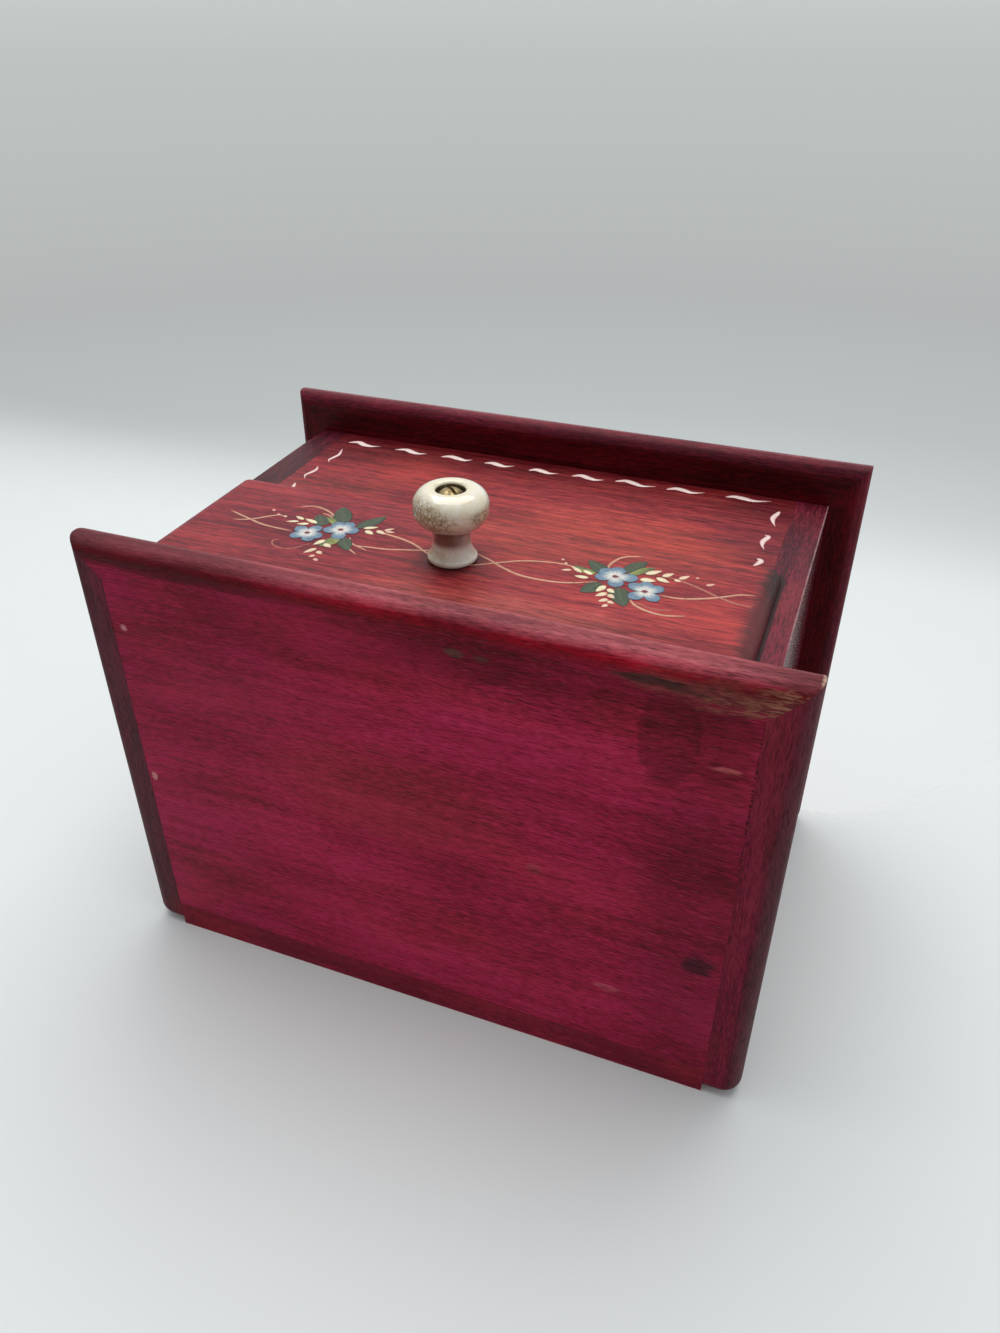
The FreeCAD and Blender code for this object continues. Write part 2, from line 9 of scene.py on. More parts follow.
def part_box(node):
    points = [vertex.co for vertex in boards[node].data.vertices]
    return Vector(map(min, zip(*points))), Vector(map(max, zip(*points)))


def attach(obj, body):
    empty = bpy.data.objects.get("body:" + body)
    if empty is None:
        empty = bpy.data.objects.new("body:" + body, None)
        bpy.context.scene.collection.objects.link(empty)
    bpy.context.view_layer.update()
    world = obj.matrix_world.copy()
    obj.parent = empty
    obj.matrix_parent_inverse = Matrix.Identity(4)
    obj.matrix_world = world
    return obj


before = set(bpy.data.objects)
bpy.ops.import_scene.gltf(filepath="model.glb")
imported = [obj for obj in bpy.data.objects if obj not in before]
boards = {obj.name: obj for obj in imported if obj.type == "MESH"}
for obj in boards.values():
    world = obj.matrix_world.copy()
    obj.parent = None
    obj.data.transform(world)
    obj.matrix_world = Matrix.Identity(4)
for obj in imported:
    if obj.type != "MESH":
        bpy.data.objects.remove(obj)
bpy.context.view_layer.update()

millimetre = 0.001


def mm(*numbers):
    return tuple(number * millimetre for number in numbers)


def newObject(name, data):
    made = bpy.data.objects.new(name, data)
    bpy.context.scene.collection.objects.link(made)
    return made


# shader helpers that every finish below is built from; a new one comes with its places on the object
def newFinish(name):
    finish = bpy.data.materials.new(name)
    finish.use_nodes = True
    tree = finish.node_tree
    tree.nodes.clear()
    return finish, tree, add(tree, "ShaderNodeTexCoord").outputs["Object"]


def add(tree, kind, settings=None, inputs=None):
    made = tree.nodes.new(kind)
    for key, value in (settings or {}).items():
        setattr(made, key, value)
    for key, value in (inputs or {}).items():
        feed(tree, made.inputs[key], value)
    return made


def feed(tree, socket, value):
    if isinstance(value, bpy.types.NodeSocket):
        tree.links.new(value, socket)
    elif isinstance(value, (tuple, list)) and len(value) == 3 and socket.type == "RGBA":
        socket.default_value = (*value, 1.0)
    else:
        socket.default_value = value


def calc(tree, operation, first, second=0.0, third=0.0, clamp=False):
    made = add(tree, "ShaderNodeMath", {"operation": operation, "use_clamp": clamp})
    for number, value in enumerate((first, second, third)):
        feed(tree, made.inputs[number], value)
    return made.outputs[0]


def times(tree, first, *others):
    for other in others:
        first = calc(tree, "MULTIPLY", first, other)
    return first


def vectorCalc(tree, operation, first, second=(0.0, 0.0, 0.0)):
    made = add(tree, "ShaderNodeVectorMath", {"operation": operation})
    feed(tree, made.inputs[0], first)
    feed(tree, made.inputs[1], second)
    return made.outputs["Value" if operation in ("LENGTH", "DOT_PRODUCT") else "Vector"]


def scaledBy(tree, vector, amount):
    made = add(tree, "ShaderNodeVectorMath", {"operation": "SCALE"}, {0: vector, "Scale": amount})
    return made.outputs["Vector"]


def blend(tree, amount, under, over, mode="MIX"):
    made = add(tree, "ShaderNodeMix", {"data_type": "RGBA", "blend_type": mode, "clamp_factor": True})
    feed(tree, made.inputs["Factor"], amount)
    feed(tree, made.inputs[6], under)
    feed(tree, made.inputs[7], over)
    return made.outputs[2]


def noise(tree, place, scale, detail=2.0, roughness=0.5):
    made = add(tree, "ShaderNodeTexNoise", inputs={"Vector": place, "Scale": scale, "Detail": detail,
                                                   "Roughness": roughness})
    return made.outputs["Fac"]


# turns low..high of a value into fromLow..fromHigh, and holds it at both ends
def slope(tree, value, low, high, fromLow=0.0, fromHigh=1.0, smooth=True):
    made = add(tree, "ShaderNodeMapRange", {"interpolation_type": "SMOOTHSTEP" if smooth else "LINEAR"},
               {"Value": value, "From Min": low, "From Max": high, "To Min": fromLow, "To Max": fromHigh})
    return made.outputs["Result"]


def mixShaders(tree, amount, first, second):
    both = {0: amount, 1: first.outputs[0], 2: second.outputs[0]}
    return add(tree, "ShaderNodeMixShader", inputs=both).outputs[0]


def ramp(tree, value, stops):
    made = add(tree, "ShaderNodeValToRGB", inputs={"Fac": value})
    elements = made.color_ramp.elements
    while len(elements) < len(stops):
        elements.new(0.5)
    for element, (position, colour, *strength) in zip(elements, stops):
        element.position = position
        element.color = (*colour, *(strength or (1.0,)))
    return made


def stretched(tree, place, scales):
    return vectorCalc(tree, "MULTIPLY", place, scales)


def axes(tree, place):
    apart = add(tree, "ShaderNodeSeparateXYZ", inputs={"Vector": place})
    return apart.outputs["X"], apart.outputs["Y"], apart.outputs["Z"]


# ends a finish with one Principled shader; what is the same all over goes straight on its sockets
def finishWith(tree, colour, roughness, bump=None, bumpDepth=0.0, **plainInputs):
    shader = add(tree, "ShaderNodeBsdfPrincipled")
    feed(tree, shader.inputs["Base Color"], colour)
    feed(tree, shader.inputs["Roughness"], roughness)
    for key, value in plainInputs.items():
        shader.inputs[key.replace("_", " ")].default_value = value
    if bump is not None:
        raised = add(tree, "ShaderNodeBump", inputs={"Height": bump, "Strength": 1.0, "Distance": bumpDepth})
        feed(tree, shader.inputs["Normal"], raised.outputs["Normal"])
    add(tree, "ShaderNodeOutputMaterial", inputs={"Surface": shader.outputs["BSDF"]})


# the camera is low in front of the underside, with the box lying on its back
photoView = {
    "place": (0.114, -0.2273, -0.2174),
    "aim": (-0.0173, 0.0188, 0.1229),
    "upward": (0.0, -1.0, 0.0),
    "lens": 28.05,
    "sensor": 36.0,
}


def makeCamera(setup):
    camera = newObject("photoCamera", bpy.data.cameras.new("photoCamera"))
    camera.data.lens = setup["lens"]
    camera.data.sensor_width = setup["sensor"]
    camera.data.clip_start = 0.01
    back = (Vector(setup["place"]) - Vector(setup["aim"])).normalized()
    across = Vector(setup["upward"]).cross(back).normalized()
    upright = back.cross(across)
    turn = Matrix((across, upright, back)).transposed().to_4x4()
    camera.matrix_world = Matrix.Translation(setup["place"]) @ turn
    bpy.context.scene.camera = camera


makeCamera(photoView)
print("camera set")


# the stage is the pale sheet that the box lies on, a deeper one behind the lid, and one under the base
stageLook = {
    "sheetPlane": 82.7,
    "deepPlane": 125.0,
    "tablePlane": -0.2,
    "reach": 3000.0,
    "sheetColour": (0.715, 0.745, 0.75),
    "lidClear": (151.5, 155.0),  # the sheet ends here behind the lid
    "sideClear": (170.0, 420.0),  # and here beside it
    "lidToSide": (116.0, 300.0),  # distances from the middle between which the one turns into the other
    "fadeOut": (330.0, 560.0),  # the sweep turns up into the backdrop
    "letsThrough": {"paleSheet": 1.0, "deepSheet": 75.0, "tableSheet": 0.0},  # to light this near behind it
}


def makeSheet(name, corners, finish):
    mesh = bpy.data.meshes.new(name)
    mesh.from_pydata([mm(*corner) for corner in corners], [], [(0, 1, 2, 3)])
    mesh.materials.append(finish)
    sheet = newObject(name, mesh)
    return sheet


def sheetFinish(name, look, endsAtLid):
    finish, tree, place = newFinish(name + "Paper")
    across, _, height = axes(tree, place)
    tone = slope(tree, noise(tree, place, 3.0, 2.0), 0.3, 0.7, 0.985, 1.015)
    colour = scaledBy(tree, look["sheetColour"], tone)
    pale = add(tree, "ShaderNodeBsdfDiffuse", inputs={"Color": colour})
    clear = add(tree, "ShaderNodeBsdfTransparent")
    hidden = add(tree, "ShaderNodeNewGeometry").outputs["Backfacing"]
    if endsAtLid:
        lidLow, lidHigh = mm(*look["lidClear"])
        sideLow, sideHigh = mm(*look["sideClear"])
        beside = slope(tree, calc(tree, "ABSOLUTE", across), *mm(*look["lidToSide"]))
        low = calc(tree, "MULTIPLY_ADD", beside, sideLow - lidLow, lidLow)
        high = calc(tree, "MULTIPLY_ADD", beside, sideHigh - lidHigh, lidHigh)
        above = calc(tree, "SUBTRACT", height, low)
        cleared = calc(tree, "DIVIDE", above, calc(tree, "SUBTRACT", high, low), clamp=True)
        hidden = calc(tree, "MAXIMUM", hidden, cleared)
    fadeLow, fadeHigh = mm(*look["fadeOut"])
    path = add(tree, "ShaderNodeLightPath")
    seen = path.outputs["Is Camera Ray"]
    fade = times(tree, slope(tree, height, fadeLow, fadeHigh), seen)
    hidden = calc(tree, "MAXIMUM", hidden, fade)
    close = calc(tree, "LESS_THAN", path.outputs["Ray Length"], look["letsThrough"][name] * millimetre)
    hidden = calc(tree, "MAXIMUM", hidden, times(tree, close, calc(tree, "SUBTRACT", 1.0, seen)))
    add(tree, "ShaderNodeOutputMaterial", inputs={"Surface": mixShaders(tree, hidden, pale, clear)})
    return finish


def makeStage(look):
    far, near, deep = look["reach"], look["sheetPlane"], look["deepPlane"]
    upright = ((-far, near, -far), (far, near, -far), (far, near, far), (-far, near, far))
    deeper = [(across, deep, up) for across, _, up in upright]
    makeSheet("paleSheet", upright, sheetFinish("paleSheet", look, True))
    makeSheet("deepSheet", deeper, sheetFinish("deepSheet", look, False))
    low = look["tablePlane"]
    level = ((-far, -far, low), (far, -far, low), (far, far, low), (-far, far, low))
    flat = dict(look, fadeOut=(far, 2 * far))
    under = makeSheet("tableSheet", level, sheetFinish("tableSheet", flat, False))
    for ray in ("diffuse", "glossy", "transmission", "shadow"):  # it is only looked at, from above
        setattr(under, "visible_" + ray, False)


makeStage(stageLook)
print("stage laid")


# light comes from a broad soft window above and behind, a dimmer room, and a soft lamp for the back
lightLook = {
    "window": {"place": (-0.08, -1.15, 0.35), "size": 1.2, "power": 14.5, "colour": (1.0, 0.99, 0.97)},
    "backLamp": {"place": (0.5, 0.9, 0.5), "size": 0.8, "power": 8.0, "colour": (1.0, 0.99, 0.98)},
    "room": {"colour": (0.95, 0.98, 1.0), "strength": 0.52, "horizon": (-0.6, 0.4),
             "dim": (0.16, 0.16, 0.17), "dimmed": (-0.1, -0.7, 0.0, 0.8)},
}
lampAim = (0.0, 0.0, 0.07)
# the backdrop's tones from below the horizon to overhead, as a camera sees them
backdropTones = (
    (0.0, (0.79, 0.82, 0.83)),
    (0.14, (0.77, 0.81, 0.82)),
    (0.2, (0.6, 0.63, 0.64)),
    (0.26, (0.5, 0.53, 0.53)),
    (0.36, (0.455, 0.47, 0.47)),
    (0.54, (0.52, 0.55, 0.54)),
    (0.8, (0.8, 0.82, 0.82)),
)


def makeLamp(name, look):
    data = bpy.data.lights.new(name, "AREA")
    data.shape = "SQUARE"
    data.size = look["size"]
    data.energy = look["power"]
    data.color = look["colour"]
    lamp = newObject(name, data)
    lamp.location = look["place"]
    towards = Vector(lampAim) - Vector(look["place"])
    lamp.rotation_mode = "QUATERNION"
    lamp.rotation_quaternion = towards.to_track_quat("-Z", "Y")
    lamp.visible_camera = False


def makeRoom(look):
    world = bpy.data.worlds.new("room")
    bpy.context.scene.world = world
    world.use_nodes = True
    tree = world.node_tree
    tree.nodes.clear()
    way = add(tree, "ShaderNodeTexCoord").outputs["Generated"]
    lift = vectorCalc(tree, "DOT_PRODUCT", way, (0.0, -1.0, 0.0))
    shown = ramp(tree, slope(tree, lift, *look["horizon"], smooth=False), backdropTones).outputs["Color"]
    depth = vectorCalc(tree, "DOT_PRODUCT", way, (0.0, 0.0, 1.0))
    shown = blend(tree, slope(tree, depth, *look["dimmed"]), shown, look["dim"])
    path = add(tree, "ShaderNodeLightPath")
    looked = calc(tree, "MAXIMUM", path.outputs["Is Camera Ray"], path.outputs["Is Glossy Ray"])
    looked = calc(tree, "MAXIMUM", looked, path.outputs["Is Transmission Ray"])
    backdrop = add(tree, "ShaderNodeBackground", inputs={"Color": shown, "Strength": 1.0})
    light = add(tree, "ShaderNodeBackground", inputs={"Color": look["colour"], "Strength": look["strength"]})
    add(tree, "ShaderNodeOutputWorld", inputs={"Surface": mixShaders(tree, looked, light, backdrop)})


makeLamp("windowLight", lightLook["window"])
makeLamp("backLight", lightLook["backLamp"])
makeRoom(lightLook["room"])
bpy.context.scene.view_settings.view_transform = "Standard"
print("lights up")


# grain of the stained boards, from broad cloud to fine fibre:
# features per metre along and across the grain, strength, detail, and how much stronger it is on the front
grainLayers = {
    "cloud": (14.0, 40.0, 0.36, 3.0, 1.2),
    "streak": (20.0, 330.0, 0.24, 3.0, 1.45),
    "fibre": (110.0, 1300.0, 0.26, 2.0, 1.6),
    "fine": (330.0, 2900.0, 0.42, 1.0, 1.15),
}
frontGrainLength = 0.45  # its streaks are longer
# a range of four runs from .. to in the pattern, and from .. to in what it turns into
woodLook = {
    "shift": (0.37, 0.21, 0.53),  # metres that one seed moves the grain
    "wander": (9.0, 30.0),  # slow drift of the grain, per metre along and across
    "wanderReach": 0.007,
    "rustClouds": (16.0, 30.0),
    "rustEdge": (0.5, 0.66),
    "tears": (70.0, 420.0),  # what makes the edges of the marks ragged
    "crumbs": (260.0, 1500.0),
    "crumbEdge": (0.44, 0.56),
    "toneStops": (0.38, 0.5, 0.62),  # where the dark, middle and bright stain lie
    "shadedStops": (0.38, 0.5, 0.64),
    "rustLift": (0.36, 0.64, 0.45, 1.6),
    "coverLift": (0.34, 0.66, 0.55, 1.5),
    "bandLift": (0.35, 0.65, 0.45, 1.6),
    "bandStray": 34.0,  # degrees that the grain moves a band of painted highlight and wear
    "bandFade": (0.33, 0.98),
    "bandEnd": (0.114, 0.09, 0.45, 1.0),  # the last of the strip is darker
    "coarser": (-0.095, 0.07, 0.4, 1.0),  # pores show more to the right of the underside
    "poreTint": (0.42, 0.2, 0.32),
    "fleckTint": (0.46, 0.12, 0.15),
    "fleckShift": (0.3, 0.3, 0.3),
    "bumpDepth": 0.0001,
    "sideRough": 0.17,  # a side is smooth under its finish, its front edge is not
    "sideEdge": (101.4, 101.2),
    "frontRough": 0.24,
}
poreLook = {"size": (200.0, 2100.0), "edge": (0.575, 0.66), "strength": 0.62}
fleckLook = {"size": (260.0, 2600.0), "edge": (0.63, 0.76), "strength": 0.17}

# stains: dark, middle and bright run with the grain, rust clouds over them
crimson = {
    "dark": (0.15, 0.003, 0.015),
    "middle": (0.305, 0.008, 0.046),
    "bright": (0.42, 0.019, 0.078),
    "rust": (0.29, 0.015, 0.026),
    "rusty": 0.45, "gloss": 0.52, "shine": 0.1,
}
scarlet = {
    "dark": (0.105, 0.003, 0.008),
    "middle": (0.235, 0.014, 0.022),
    "bright": (0.39, 0.041, 0.038),
    "rust": (0.3, 0.028, 0.025),
    "rusty": 0.8, "gloss": 0.38, "shine": 0.19,
}
maroon = {
    "dark": (0.05, 0.002, 0.008),
    "middle": (0.115, 0.006, 0.02),
    "bright": (0.2, 0.014, 0.036),
    "rust": (0.14, 0.012, 0.018),
    "rusty": 0.6, "gloss": 0.5, "shine": 0.1,
}
postStain = {
    "dark": (0.038, 0.002, 0.007),
    "middle": (0.085, 0.006, 0.018),
    "bright": (0.18, 0.014, 0.032),
    "rust": (0.13, 0.014, 0.018),
    "rusty": 0.8, "gloss": 0.36, "shine": 0.17,
}
deepCrimson = dict(crimson, middle=(0.15, 0.005, 0.02), bright=(0.25, 0.012, 0.04))
redMaroon = dict(maroon, dark=(0.07, 0.002, 0.01), middle=(0.155, 0.005, 0.024))
# painted shade: the darker tones of the lid's inner face
paintedShadeTones = {"dark": (0.026, 0.001, 0.002), "middle": (0.07, 0.001, 0.004), "bright": (0.125, 0.003, 0.009)}

# one mark, used for wear and stains and for painted shade and painted highlights: centre and reach in
# millimetres, colour and strength, how soft its edge is, how far the grain tears it, whether it darkens the
# wood or covers it, and whether it is broken into crumbs
def wearAndLightMark(centre, reach, colour, strength, edge=0.7, ragged=0.8, multiplies=False, broken=False):
    return {"centre": centre, "reach": reach, "colour": colour, "strength": strength,
            "edge": edge, "ragged": ragged, "multiplies": multiplies, "broken": broken}


def stainAndShadeMark(*spot, **rest):
    return wearAndLightMark(*spot, multiplies=True, **rest)


undersideMarks = (
    stainAndShadeMark((-86, -52, 0), (56, 46, 9), (0.72, 0.62, 0.78), 0.6, edge=1.0),
    stainAndShadeMark((-92, 50, 0), (36, 44, 9), (0.84, 0.9, 0.95), 0.6, edge=1.0),
    stainAndShadeMark((-20, -73, 0), (57, 19, 9), (0.72, 0.58, 0.62), 0.7, edge=0.08, ragged=0.35),
    stainAndShadeMark((44, -76, 0), (62, 13, 9), (0.52, 0.34, 0.38), 0.85, edge=0.8),
    stainAndShadeMark((77.6, -59, 0), (8.4, 17, 9), (0.54, 0.38, 0.48), 0.75, edge=0.14, ragged=0.5),
    stainAndShadeMark((93, -60, 0), (8, 14, 9), (0.66, 0.5, 0.58), 0.75, edge=0.5, ragged=1.0),
    stainAndShadeMark((94, 10, 0), (20, 78, 9), (0.6, 0.56, 0.58), 0.8, edge=1.0),
    wearAndLightMark((-8, -12, 0), (36, 18, 9), (0.28, 0.02, 0.026), 0.55, edge=1.0, ragged=1.4),
    wearAndLightMark((-60, -38, 0), (30, 12, 9), (0.33, 0.02, 0.05), 0.35, edge=1.0, ragged=1.4),
    wearAndLightMark((88, -75.2, 0), (23, 4.0, 3), (0.17, 0.034, 0.03), 0.7, ragged=2.2),
    wearAndLightMark((98, -73.6, 0), (15, 3.2, 3), (0.26, 0.105, 0.062), 0.62, edge=1.0, ragged=2.2, broken=True),
    wearAndLightMark((106, -77.4, 1), (7.0, 3.0, 4), (0.3, 0.13, 0.08), 0.62, edge=1.0, ragged=2.2, broken=True),
    wearAndLightMark((113.4, -82.0, 7), (0.9, 1.6, 5), (0.56, 0.4, 0.29), 0.65, ragged=1.6),
    wearAndLightMark((71, -75.9, 0), (8, 1.5, 3), (0.026, 0.013, 0.011), 0.8, ragged=3.0),
    wearAndLightMark((82, -74.6, 0), (6, 1.0, 3), (0.03, 0.016, 0.013), 0.6, ragged=2.6),
    wearAndLightMark((94.1, 24.2, 0), (4.2, 4.4, 2), (0.04, 0.006, 0.012), 0.85, ragged=2.4),
    wearAndLightMark((16.5, -71.0, 0), (2.6, 1.4, 2), (0.075, 0.04, 0.028), 0.7, ragged=1.2),
    wearAndLightMark((24.6, -71.2, 0), (2.2, 1.0, 2), (0.075, 0.04, 0.028), 0.45, ragged=1.2),
    wearAndLightMark((41.0, 2.0, 0), (2.6, 2.0, 2), (0.18, 0.05, 0.04), 0.4, ragged=1.2),
    wearAndLightMark((93.3, -52.8, 0), (3.8, 1.0, 2), (0.48, 0.12, 0.11), 0.45, ragged=3.4),
    wearAndLightMark((66.4, 45.8, 0), (4.4, 1.6, 2), (0.46, 0.1, 0.12), 0.45, ragged=3.2),
    wearAndLightMark((-97.3, -53.8, 0), (1.3, 1.2, 2), (0.62, 0.26, 0.3), 0.65, ragged=1.6),
    wearAndLightMark((-99.2, 7.5, 0), (1.1, 1.7, 2), (0.6, 0.26, 0.26), 0.7, ragged=1.2),
    wearAndLightMark((93.0, 73.9, 0), (6.5, 0.6, 2), (0.4, 0.17, 0.06), 0.8),
    wearAndLightMark((99.4, 76.5, 0), (0.7, 3.6, 2), (0.4, 0.17, 0.06), 0.8),
    wearAndLightMark((93.0, 78.0, 0), (6.0, 3.6, 3), (0.055, 0.012, 0.014), 0.8),
    wearAndLightMark((101.5, -44, 0), (0.55, 26, 2), (0.01, 0.001, 0.003), 1.0, ragged=0.2, broken=True),
)
leftStripReflection = (
    # a painted grey reflection on the left strip
    wearAndLightMark((-109, 0, 0), (8, 90, 9), (0.075, 0.024, 0.03), 0.65),
)
rightStripMarks = (
    wearAndLightMark((113, 0, 3), (4.0, 90, 9), (0.075, 0.028, 0.034), 0.65),
    wearAndLightMark((109.5, -40, 0), (3.0, 40, 9), (0.08, 0.012, 0.02), 0.3),
)
frontWearAndShade = (
    # painted shade on the top of the front panel, darkest under the lid's overhang
    stainAndShadeMark((0, -68.5, 150), (400, 9, 31), (0.36, 0.25, 0.28), 0.85, edge=0.9, ragged=0.3),
    stainAndShadeMark((-84, -68.5, 104), (26, 6, 60), (0.76, 0.66, 0.86), 0.8),
    stainAndShadeMark((88, -68.5, 108), (24, 6, 40), (0.62, 0.5, 0.72), 0.8),
)
glowMark = wearAndLightMark((34, -71, 78), (48, 9, 28), (0.4, 0.06, 0.034), 0.36)
drawerWearAndShade = (
    stainAndShadeMark((-78, -73, 52), (46, 9, 52), (0.78, 0.66, 0.92), 0.9),
    # a painted highlight on the lower part of the drawer face
    wearAndLightMark((22, -73, 21), (38, 9, 9), (0.42, 0.095, 0.075), 0.45, edge=1.2, ragged=1.4),
    # painted shade on the lip's rounded right end, deepest at its upper corner, with its darker end grain
    wearAndLightMark((93.5, -71, 45), (5.5, 6, 50), (0.062, 0.012, 0.015), 0.85),
    wearAndLightMark((95, -70, 70), (6, 6, 16), (0.03, 0.014, 0.012), 0.95, ragged=1.4),
    wearAndLightMark((-99.7, -70, 45), (4, 5, 50), (0.11, 0.012, 0.02), 0.7),
    # painted shade round the knob's foot
    wearAndLightMark((-3.6, -73.8, 46.2), (9.8, 3, 9.8), (0.05, 0.004, 0.006), 0.9, ragged=0.3),
)
postMarksShadeAndHighlight = (
    # painted shadow of the drawer lip on the right post
    wearAndLightMark((94.3, -68.5, 44), (0.9, 2.0, 40), (0.012, 0.003, 0.004), 0.9),
    # a pale painted highlight along the right post's outer edge, with wear
    wearAndLightMark((101.5, -68.5, 96), (0.45, 1.0, 60), (0.34, 0.21, 0.22), 0.6, ragged=1.0),
    # painted shade on the right post beside the lip's top corner
    wearAndLightMark((92, -69, 77), (3.6, 3, 4), (0.016, 0.005, 0.006), 0.85, ragged=1.4),
    stainAndShadeMark((-98, -68.5, 100), (9, 3, 90), (0.45, 0.45, 0.45), 0.9),
)

# bands of painted highlight and shade, with wear, round a strip's edge: degrees from its outer face, colour,
# strength
frontBands = (
    (-50, (0.31, 0.055, 0.055), 0.9),
    (-36, (0.29, 0.058, 0.063), 0.9),
    (-24, (0.39, 0.11, 0.12), 0.9),
    (-10, (0.235, 0.05, 0.058), 0.9),
    (5, (0.25, 0.053, 0.066), 0.95),
    (20, (0.33, 0.078, 0.09), 0.95),
    (32, (0.335, 0.072, 0.09), 0.95),
    (45, (0.35, 0.048, 0.07), 0.95),
    (58, (0.26, 0.004, 0.017), 0.95),
    (72, (0.21, 0.001, 0.008), 0.95),
    (88, (0.15, 0.002, 0.01), 0.9),
    (112, (0.15, 0.002, 0.012), 0.0),
)
sideBands = (
    (-50, (0.06, 0.006, 0.014), 0.5),
    (0, (0.09, 0.022, 0.032), 0.6),
    (30, (0.11, 0.03, 0.04), 0.6),
    (70, (0.055, 0.006, 0.012), 0.5),
    (100, (0.055, 0.006, 0.012), 0.0),
)
lidBands = (
    (-50, (0.06, 0.004, 0.01), 0.5),
    (-10, (0.15, 0.024, 0.032), 0.6),
    (20, (0.3, 0.19, 0.205), 0.7),
    (60, (0.13, 0.018, 0.026), 0.6),
    (100, (0.12, 0.006, 0.014), 0.0),
)
# where the rounding of the strips has its middle: height, which way the broad side lies, and beside the box
baseEdge = {"level": 5.5, "up": -1}
lidEdge = {"level": 145.8, "up": 1}
frontSide, leftSide, rightSide = ("y", -1, -77.0), ("x", -1, -108.0), ("x", 1, 108.0)
sideStrip = {"flecks": 0.4, "grain": "y", "edge": baseEdge, "bands": sideBands}
lidStrip = {"stain": maroon, "flecks": 0.4, "shaded": 139.9, "edge": lidEdge, "bands": lidBands}

# the grain runs along x unless a board says otherwise
woodBoards = {
    "base_panel": {"stain": crimson, "seed": 1.0, "marks": undersideMarks, "coarse": True},
    "base_moulding_front": {"stain": crimson, "seed": 1.0, "marks": undersideMarks, "coarse": True,
                            "edge": baseEdge, "side": frontSide, "bands": frontBands, "fades": (-62.0, 2.0)},
    "base_moulding_left": dict(sideStrip, stain=maroon, seed=3.0, marks=leftStripReflection, side=leftSide),
    "base_moulding_right": dict(sideStrip, stain=redMaroon, seed=4.0, marks=rightStripMarks, side=rightSide),
    "back_panel": {"stain": deepCrimson, "seed": 5.0},
    "side_left": {"stain": postStain, "grain": "z", "seed": 6.0, "marks": postMarksShadeAndHighlight, "polished": True},
    "side_right": {"stain": postStain, "grain": "z", "seed": 7.0, "marks": postMarksShadeAndHighlight, "polished": True},
    "front_panel": {"stain": scarlet, "seed": 8.0, "marks": (glowMark, *frontWearAndShade), "strong": True},
    "drawer_front": {"stain": scarlet, "seed": 8.0, "marks": (glowMark, *drawerWearAndShade), "strong": True},
    "lid_panel": {"stain": crimson, "flecks": 0.6, "seed": 10.0, "shaded": 139.9},
    "lid_moulding_front": dict(lidStrip, seed=11.0, side=frontSide),
    "lid_moulding_left": dict(lidStrip, grain="y", seed=12.0, side=leftSide),
    "lid_moulding_right": dict(lidStrip, grain="y", seed=13.0, side=rightSide),
}


def grainVector(axis, along, across):
    return tuple(along if letter == axis else across for letter in "xyz")


def grainNoise(tree, place, axis, along, across, detail):
    return noise(tree, stretched(tree, place, grainVector(axis, along, across)), 1.0, detail, 0.6)


# how strong a spot is at each place: full in its middle, 0 outside it, with a ragged edge
def markStrength(tree, place, mark, ragged, crumbs):
    apart = vectorCalc(tree, "SUBTRACT", place, mm(*mark["centre"]))
    sized = vectorCalc(tree, "DIVIDE", apart, mm(*mark["reach"]))
    far = calc(tree, "MULTIPLY_ADD", ragged, mark["ragged"], vectorCalc(tree, "LENGTH", sized))
    halfEdge = mark["edge"] / 2
    spot = slope(tree, far, 1.0 + halfEdge, 1.0 - halfEdge, 0.0, mark["strength"])
    if mark["broken"]:
        spot = times(tree, spot, slope(tree, crumbs, *woodLook["crumbEdge"]))
    return spot


# a mark that multiplies darkens the wood by its colour; any other covers it, and the grain still runs
# through;
# the marks are wear and stains, and painted shade and painted highlights
def applyWearAndLightMarks(tree, colour, place, marks, multiplies, tone, ragged, crumbs):
    lift = slope(tree, tone, *woodLook["coverLift"], smooth=False)
    for mark in marks:
        if mark["multiplies"] != multiplies:
            continue
        spot = markStrength(tree, place, mark, ragged, crumbs)
        if multiplies:
            colour = blend(tree, spot, colour, mark["colour"], "MULTIPLY")
        else:
            colour = blend(tree, spot, colour, scaledBy(tree, mark["colour"], lift))
    return colour


# degrees round a strip's rounded edge: 0 on its outer face, 90 on its broad side
def edgeAngle(tree, place, board):
    axis, way, middle = board["side"]
    across, along, height = axes(tree, place)
    outward = calc(tree, "MULTIPLY_ADD", across if axis == "x" else along, way, -way * middle * millimetre)
    level, up = board["edge"]["level"] * millimetre, board["edge"]["up"]
    turned = calc(tree, "MULTIPLY_ADD", height, up, -up * level)
    return calc(tree, "DEGREES", calc(tree, "ARCTAN2", turned, outward))


def bandLightAndWear(tree, colour, place, board, tone, streak, cloud):
    low, high = board["bands"][0][0], board["bands"][-1][0]
    stray = times(tree, calc(tree, "SUBTRACT", streak, 0.5), woodLook["bandStray"])
    angle = calc(tree, "ADD", stray, edgeAngle(tree, place, board))
    stops = [((degrees - low) / (high - low), tint, strength) for degrees, tint, strength in board["bands"]]
    band = ramp(tree, slope(tree, angle, low, high, smooth=False), stops)
    lift = slope(tree, tone, *woodLook["bandLift"], smooth=False)
    grained = scaledBy(tree, band.outputs["Color"], lift)
    if "fades" in board:  # the painted highlights and wear are paler to the right
        across = axes(tree, place)[0]
        cloudy = calc(tree, "MULTIPLY_ADD", calc(tree, "SUBTRACT", cloud, 0.5), 0.9, 1.0)
        fade = slope(tree, across, *mm(*board["fades"]), *woodLook["bandFade"], smooth=False)
        end = slope(tree, across, *woodLook["bandEnd"])
        grained = scaledBy(tree, grained, times(tree, fade, cloudy, end))
    return blend(tree, band.outputs["Alpha"], colour, grained)


def stainTones(tree, tone, stain, places):
    colours = (stain["dark"], stain["middle"], stain["bright"])
    return ramp(tree, tone, list(zip(places, colours))).outputs["Color"]


